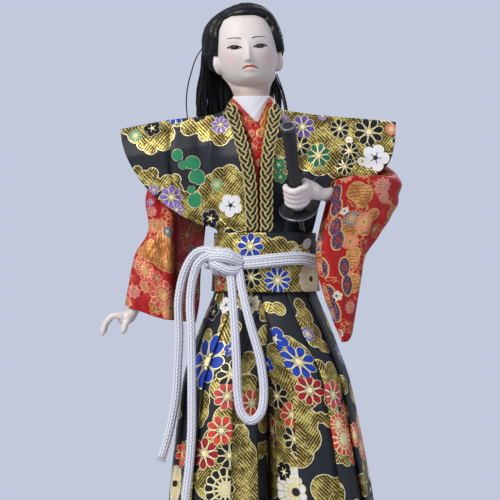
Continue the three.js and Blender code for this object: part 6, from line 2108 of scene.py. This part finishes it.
class Foot:
    """One foot: where it stands, and its sock, straw sole and strap."""

    def __init__(self, side, name):
        self.side, self.name = side, name
        self.x = side * FOOT_X
        self.heel = ANKLE_Y + FOOT_LENGTH * 0.24

    def sole(self, u, v):
        turn = math.tau * u
        along = math.sin(turn)
        level = min(v / 0.35, 1)
        inset = 0.7 * (1 - math.sqrt(1 - (1 - level) ** 2))
        inset += 0 if v < 0.35 else 0.25 * ((v - 0.35) / 0.65) ** 3
        ring = max(0.0, (v - 0.8) / 0.2) * 2.2
        half = FOOT_WIDTH * (0.56 - 0.05 * along) - inset - ring
        long = FOOT_LENGTH / 2 + 1.5 - inset - ring
        z = mix(BASE_TOP + 0.3, SOLE_TOP, min(v / 0.8, 1)) + (0.12 * math.sin(turn * 34) if v > 0.4 else 0)
        return Vector((self.x + half * math.cos(turn), self.heel - FOOT_LENGTH / 2 + long * along, z))

    def sock(self, u, v):
        half = FOOT_WIDTH * (0.34 + 0.16 * math.sin(math.pi * min(v * 1.15, 1) * 0.75))
        half *= math.sin(math.pi * mix(0.22, 0.84, v))
        height = mix(11, 4.2, smooth(v, 0.1, 0.85))
        past = max((v - 0.93) / 0.07, (0.05 - v) / 0.05, 0)
        end = math.sqrt(max(1 - past ** 2, 0.04))
        turn = math.tau * u
        return Vector((self.x + half * end * math.cos(turn), self.heel - FOOT_LENGTH * v,
                       SOLE_TOP + 0.3 + height / 2 + height / 2 * end * math.sin(turn)))

    def split_toes(self, bm):
        """Parts the big toe from the others and folds the cloth at the ankle."""
        split = self.x - self.side * FOOT_WIDTH * 0.17
        for vertex in bm.verts:
            p = vertex.co / MM
            ahead = self.heel - p.y
            near = bump(p.x - split, 0.55) * smooth(ahead - FOOT_LENGTH * 0.74, 0, 2.5)
            if near > 0.01:
                p.y += 2.4 * near * smooth(ahead - FOOT_LENGTH * 0.9, 0, 3)
                p.z = mix(p.z, min(p.z, SOLE_TOP + 1.4), 0.75 * near)
            fold = 0.25 * math.sin(p.z * 2.1) * smooth(p.z, SOLE_TOP + 8, SOLE_TOP + 11)
            out = Vector((p.x - self.x, p.y - ANKLE_Y, 0))
            if fold and out.length > 1:
                p += out.normalized() * fold
            vertex.co = p * MM

    def build(self):
        x, heel, side = self.x, self.heel, self.side
        bm = bmesh.new()
        cloth_grid(bm, 120, 20, self.sole, wrap=True, ends=True)
        make_piece("straw_sole_" + self.name, bm, "straw", "zori_sole_" + self.name)

        bm = bmesh.new()
        cloth_grid(bm, 48, 60, self.sock, wrap=True, ends=True)
        limb(bm, [(x, ANKLE_Y, SOLE_TOP + 5), (x - side * 0.4, ANKLE_Y + 0.6, SOLE_TOP + 14),
                  (x - side, ANKLE_Y + 1.5, SOLE_TOP + 23.6)],
             (4.6, 4.6, 4.7, 5.0), sides=32, steps=30, tip=0.99)
        bm = fuse(bm, 0.4)
        self.split_toes(bm)
        make_piece("white_sock_" + self.name, bm, "white_cloth", "tabi_foot_" + self.name, outward=False)

        bm = bmesh.new()
        for aside in (1, -1):
            limb(bm, [(x - side * 1.25, heel - FOOT_LENGTH * 0.82, SOLE_TOP + 5.2),
                      (x + aside * 4.5, heel - FOOT_LENGTH * 0.62, SOLE_TOP + 5.4),
                      (x + aside * 6.75, heel - FOOT_LENGTH * 0.42, SOLE_TOP + 1.2)],
                 (0.75, 0.85, 0.8), sides=16, steps=40, tip=0.97)
        make_piece("velvet_strap_" + self.name, bm, "strap_velvet", "zori_strap_" + self.name, slot="strap")


def build_feet():
    for side, name in ((-1, "right"), (1, "left")):
        Foot(side, name).build()


BASE_HALF = (62.0, 54.0)
BASE_CORNER = 5.0
CORNER_SIGNS = ((1, 1), (-1, 1), (-1, -1), (1, -1))


def base_outline(inset, share):
    """A rounded rectangle: at this share of the way round, and this far inside the base's outline."""
    w, d, r = BASE_HALF[0] - inset, BASE_HALF[1] - inset, max(BASE_CORNER - inset, 0.6)
    quarter = int(4 * share) % 4
    t = 4 * share - int(4 * share)
    here, there = (Vector((sx * (w - r), sy * (d - r)))
                   for sx, sy in (CORNER_SIGNS[quarter], CORNER_SIGNS[(quarter + 1) % 4]))
    angle = math.radians(90 * quarter + 90 * min(t / 0.3, 1))
    off = Vector((math.cos(angle), math.sin(angle))) * r
    return (here + off).lerp(there + off, max((t - 0.3) / 0.7, 0))


def build_base():
    """A lacquered plinth with a rounded foot and a coved upper edge."""
    profile = [(0.9, 0.0), (0.35, 0.18), (0.0, 0.8), (0, 3), (0, 6.2), (0.12, 6.7), (0.6, 7.2), (1.6, 7.9),
               (1.7, 8.1)]
    for k in range(1, 9):
        angle = math.radians(90 * k / 8)
        profile.append((2.6 + 2.4 * (1 - math.cos(angle)), 8.3 + 3.55 * math.sin(angle)))
    profile += [(5.3, 11.95), *[(inset, BASE_TOP) for inset in (5.8, 7, 12, 24, 40)]]
    count, rows = 240, len(profile) - 1

    def place(u, v):
        inset, z = profile[round(v * rows)]
        x, y = base_outline(inset, (round(u * count) % count) / count)
        return Vector((x, y, z))

    bm = bmesh.new()
    cloth_grid(bm, count, rows, place, wrap=True, ends=True)
    make_piece("lacquer_plinth", bm, "lacquer", "base_plinth")


# Sword

HILT_LOW, HILT_HIGH = 4.3, 47.0
BLADE_THICK, BLADE_WIDE = 1.9, 2.7

# Outlines of the turned fittings: how far along the sword from the guard, and how far out
GUARD_OUTLINE = ((-0.7, 0.9), (-0.7, 3.0), (-0.7, 7.9), (-0.62, 8.8), (-0.42, 9.3), (-0.15, 9.5), (0.15, 9.5),
                 (0.42, 9.3), (0.62, 8.8), (0.7, 8.1), (0.55, 7.7), (0.5, 5.4), (0.5, 3.6), (0.62, 3.3),
                 (0.7, 3.1), (0.7, 0.9))
COLLAR_OUTLINE = ((1.0, 2.2), (1.0, 3.1), (1.15, 3.3), (1.5, 3.3), (1.7, 3.15), (3.2, 3.1), (3.6, 3.16),
                  (4.0, 3.0), (4.0, 2.2))
POMMEL_OUTLINE = ((47.6, 2.4), (47.6, 3.4), (47.8, 3.65), (48.1, 3.8), (49.3, 3.8), (49.6, 3.72),
                  (49.85, 3.4), (49.95, 3.0), (49.9, 2.6), (49.8, 2.3), (49.8, 1.2), (49.8, 0.3))
SCABBARD_OUTLINE = ((-5.0, -1.2), (-5.0, -0.1), (-5.2, 0), *[(-5.2 - 104 * k / 40, 0) for k in range(1, 40)],
                    (-109.5, 0), (-109.7, -0.1), (-109.7, -1.2))
MOUTH_OUTLINE = ((-1.0, -0.9), (-1.0, -0.15), (-1.2, 0), (-1.6, 0.02), (-2.0, -0.05), (-4.2, -0.05),
                 (-4.5, 0), (-4.7, -0.12), (-4.7, -0.9))
CAP_OUTLINE = ((-110.0, -1.0), (-110.0, 0.1), (-110.2, 0.2), (-110.8, 0.2), (-111.1, 0.05), (-114.6, 0.0),
               (-115.2, -0.2), (-115.7, -0.6), (-116.0, -1.1), (-116.0, -1.7))


def flat_round(extra):
    """An oval section round the flat blade, this much larger than the scabbard's."""
    return lambda along, out, angle: on_sword(along, (BLADE_THICK + extra + out) * math.cos(angle),
                                              (BLADE_WIDE + extra + out) * math.sin(angle))


def grip_point(u, v):
    along = mix(HILT_LOW, HILT_HIGH, v)
    waist = mix(2.9, 3.35, v) - 0.12 * math.sin(math.pi * v)
    rib = 0.07 * abs(math.sin(math.pi * (along / 1.5 + 0.5 * math.sin(math.tau * u))))
    return round_sword(along, waist - 0.1 + rib * smooth(v, 0, 0.02) * smooth(1 - v, 0, 0.02), math.tau * u)


def build_fitting(name, outline, place, segments, looks, node, body, light=None):
    """A turned fitting. The faces for which light(along, out) holds get its second finish."""
    bm = bmesh.new()
    turned(bm, outline, place, segments)
    for face in bm.faces if light else ():
        p = face.calc_center_median() / MM - GUARD
        along = p.dot(SWORD_UP)
        face.material_index = int(light(along, (p - SWORD_UP * along).length))
    make_piece(name, bm, looks, node, body)


def build_sword():
    build_fitting("lacquer_guard", GUARD_OUTLINE, round_sword, 120, "black_lacquer rim_lacquer", "guard",
                  "katana", lambda along, out: out > 9.05)
    build_fitting("metal_hilt_collar", COLLAR_OUTLINE, round_sword, 64, "dull_metal", "hilt_collar", "katana")
    bm = bmesh.new()
    cloth_grid(bm, 48, 220, grip_point, lambda u, v, p: (u * 17.6, v * (HILT_HIGH - HILT_LOW)), wrap=True,
               ends=True)
    make_piece("wrapped_hilt", bm, "hilt_wrap", "hilt", "katana", "black_lacquer")
    build_fitting("lacquer_pommel", POMMEL_OUTLINE, round_sword, 72, "black_lacquer rim_lacquer", "pommel",
                  "katana", lambda along, out: along > 49.55 and out > 2.6)
    build_fitting("lacquer_scabbard", SCABBARD_OUTLINE, flat_round(0), 56, "black_lacquer", "scabbard",
                  "saya")
    build_fitting("metal_scabbard_mouth", MOUTH_OUTLINE, flat_round(0.3), 56, "dull_metal", "scabbard_mouth",
                  "saya")
    build_fitting("metal_scabbard_cap", CAP_OUTLINE, flat_round(0), 56, "dull_metal", "scabbard_cap", "saya")


KEPT = {
    "leg_dowel_right": "turned_wood", "leg_dowel_left": "turned_wood", "neck_peg": "turned_wood",
    "body_core": "foam", "right_arm_wire": "wire_metal", "left_arm_wire": "wire_metal",
    "blade": "blade_steel",
}


def dress_kept_nodes():
    for name, look in KEPT.items():
        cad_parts[name].material_slots[0].material = finish(look)


# Stage

def build_camera():
    s = bpy.context.scene.doll_stage
    camera = bpy.data.cameras.new("photo_camera")
    camera.sensor_fit = "HORIZONTAL"
    camera.angle = 2 * math.atan(s.view_width / 2 / s.distance)
    made = bpy.data.objects.new("photo_camera", camera)
    made.location = (VIEW_X * MM, -s.distance, VIEW_Z * MM)
    made.rotation_euler = (math.radians(90), 0, 0)
    bpy.context.scene.collection.objects.link(made)
    bpy.context.scene.camera = made


def floor_paint(name):
    """Pale floor that fades out to the background."""
    f = Finish(name, Roughness=0.85, Specular_IOR_Level=0.2)
    x, y, _ = f.apart(f.place(1.0))
    grain = f.noise(f.place(), 0.4, 3.0)
    f.base(f.tint(grain * 0.15, (0.60, 0.62, 0.70), (0.66, 0.67, 0.74)))
    f.feed("Alpha", f.fall(distance_from(f, x, y), 0.16, 0.40))
    return f.material


def build_floor():
    inner, outer = 2, 420

    def place(u, v):
        radius = mix(inner, outer, v)
        return Vector((radius * math.cos(math.tau * u), radius * math.sin(math.tau * u), 0))

    bm = bmesh.new()
    cloth_grid(bm, 96, 40, place, wrap=True, ends=True)
    # The grid's outer end cap would cover the whole floor
    wide = [face for face in bm.faces if len(face.verts) > 50 and face.calc_area() > 0.1]
    bmesh.ops.delete(bm, geom=wide, context="FACES_ONLY")
    mesh = bpy.data.meshes.new("floor")
    bm.to_mesh(mesh)
    bm.free()
    mesh.materials.append(floor_paint("floor"))
    made = bpy.data.objects.new("floor", mesh)
    bpy.context.scene.collection.objects.link(made)


def build_lights():
    s = bpy.context.scene.doll_stage
    for name, size, power, place, aim, tone in (
        ("key", 0.6, s.key_power, (-0.72, -0.85, 0.95), (0, 0, 0.19), (1.0, 0.985, 0.96)),
        ("fill", 1.0, s.key_power * 0.16, (1.05, -0.65, 0.35), (0, 0, 0.17), (0.88, 0.93, 1.0)),
        ("rear", 0.8, s.key_power * 0.25, (0.35, 0.95, 0.75), (0, 0, 0.17), (0.95, 0.97, 1.0)),
    ):
        light = bpy.data.lights.new(name, "AREA")
        light.shape = "DISK"
        light.size = size
        light.energy = power
        light.color = tone
        made = bpy.data.objects.new(name, light)
        made.location = place
        made.rotation_euler = (Vector(aim) - Vector(place)).to_track_quat("-Z", "Y").to_euler()
        bpy.context.scene.collection.objects.link(made)


def build_world():
    s = bpy.context.scene.doll_stage
    world = bpy.data.worlds.new("studio")
    world.use_nodes = True
    bpy.context.scene.world = world
    tree = world.node_tree
    tree.nodes.clear()
    out = tree.nodes.new("ShaderNodeOutputWorld")
    rays = tree.nodes.new("ShaderNodeLightPath")
    seen = tree.nodes.new("ShaderNodeBackground")
    seen.inputs[0].default_value = (*s.background, 1)
    seen.inputs[1].default_value = 1.0
    lit = tree.nodes.new("ShaderNodeBackground")
    lit.inputs[0].default_value = (0.80, 0.84, 0.95, 1)
    lit.inputs[1].default_value = 0.40
    both = tree.nodes.new("ShaderNodeMixShader")
    tree.links.new(rays.outputs["Is Camera Ray"], both.inputs[0])
    tree.links.new(lit.outputs[0], both.inputs[1])
    tree.links.new(seen.outputs[0], both.inputs[2])
    tree.links.new(both.outputs[0], out.inputs[0])
    bpy.context.scene.view_settings.view_transform = "Standard"


# Operators, in the order in which the doll is dressed

class DOLL_OT_stage(bpy.types.Operator):
    """Place the camera, the soft lights and the pale floor"""
    bl_idname = "doll.stage"
    bl_label = "Stage"

    def execute(self, context):
        build_camera()
        build_world()
        build_lights()
        build_floor()
        return {"FINISHED"}


class DOLL_OT_cords(bpy.types.Operator):
    """Lay the white cord: the belt, its knot, the loop and the two tails"""
    bl_idname = "doll.cords"
    bl_label = "White cord"

    def execute(self, context):
        build_free_cords()
        build_belt_cord()
        build_knot()
        return {"FINISHED"}


class DOLL_OT_kimono(bpy.types.Operator):
    """Make the red kimono, its collar and the white collar under it"""
    bl_idname = "doll.kimono"
    bl_label = "Kimono and collars"

    def execute(self, context):
        build_kimono()
        build_under_collar()
        build_kimono_collar()
        return {"FINISHED"}


class DOLL_OT_jacket(bpy.types.Operator):
    """Make the winged brocade jacket and its plaited lapels"""
    bl_idname = "doll.jacket"
    bl_label = "Winged jacket"

    def execute(self, context):
        build_jacket()
        build_braids()
        return {"FINISHED"}


class DOLL_OT_trousers(bpy.types.Operator):
    """Make the sash, the pleated hakama and its back board"""
    bl_idname = "doll.trousers"
    bl_label = "Sash and hakama"

    def execute(self, context):
        build_obi()
        build_hakama()
        build_back_board()
        return {"FINISHED"}


class DOLL_OT_sleeves(bpy.types.Operator):
    """Make the red sleeves and the wadding of arms and legs"""
    bl_idname = "doll.sleeves"
    bl_label = "Sleeves and wadding"

    def execute(self, context):
        build_sleeves()
        build_wadding()
        return {"FINISHED"}


class DOLL_OT_hands(bpy.types.Operator):
    """Model the two vinyl hands"""
    bl_idname = "doll.hands"
    bl_label = "Hands"

    def execute(self, context):
        build_right_hand()
        build_left_hand()
        return {"FINISHED"}


class DOLL_OT_head(bpy.types.Operator):
    """Model the head with its painted face, and the hair"""
    bl_idname = "doll.head"
    bl_label = "Head and hair"

    def execute(self, context):
        build_head()
        build_hair_cap()
        build_hair_tail()
        return {"FINISHED"}


class DOLL_OT_feet(bpy.types.Operator):
    """Make the socks, the straw sandals and the lacquered base"""
    bl_idname = "doll.feet"
    bl_label = "Feet and base"

    def execute(self, context):
        build_feet()
        build_base()
        return {"FINISHED"}


class DOLL_OT_sword(bpy.types.Operator):
    """Turn the sword's fittings and the scabbard"""
    bl_idname = "doll.sword"
    bl_label = "Sword"

    def execute(self, context):
        build_sword()
        return {"FINISHED"}


class DOLL_OT_kept(bpy.types.Operator):
    """Give the inner solids that stay their own materials"""
    bl_idname = "doll.kept"
    bl_label = "Inner solids"

    def execute(self, context):
        dress_kept_nodes()
        return {"FINISHED"}


STEPS = (DOLL_OT_stage, DOLL_OT_cords, DOLL_OT_kimono, DOLL_OT_jacket, DOLL_OT_trousers, DOLL_OT_sleeves,
         DOLL_OT_hands, DOLL_OT_head, DOLL_OT_feet, DOLL_OT_sword, DOLL_OT_kept)


class DOLL_PT_panel(bpy.types.Panel):
    bl_label = "Samurai doll"
    bl_idname = "DOLL_PT_panel"
    bl_space_type = "VIEW_3D"
    bl_region_type = "UI"
    bl_category = "Doll"

    def draw(self, context):
        column = self.layout.column(align=True)
        for step in STEPS:
            column.operator(step.bl_idname)
        for group in (context.scene.doll_sizes, context.scene.doll_colours, context.scene.doll_stage):
            box = self.layout.box()
            for key in group.__annotations__:
                box.prop(group, key)


CLASSES = (DollSizes, DollColours, DollStage, *STEPS, DOLL_PT_panel)


def register():
    for made in CLASSES:
        bpy.utils.register_class(made)
    bpy.types.Scene.doll_sizes = PointerProperty(type=DollSizes)
    bpy.types.Scene.doll_colours = PointerProperty(type=DollColours)
    bpy.types.Scene.doll_stage = PointerProperty(type=DollStage)


def unregister():
    del bpy.types.Scene.doll_stage
    del bpy.types.Scene.doll_colours
    del bpy.types.Scene.doll_sizes
    for made in reversed(CLASSES):
        bpy.utils.unregister_class(made)


def main():
    register()
    for step in STEPS:
        area, name = step.bl_idname.split(".")
        getattr(getattr(bpy.ops, area), name)()


if __name__ == "__main__":
    main()
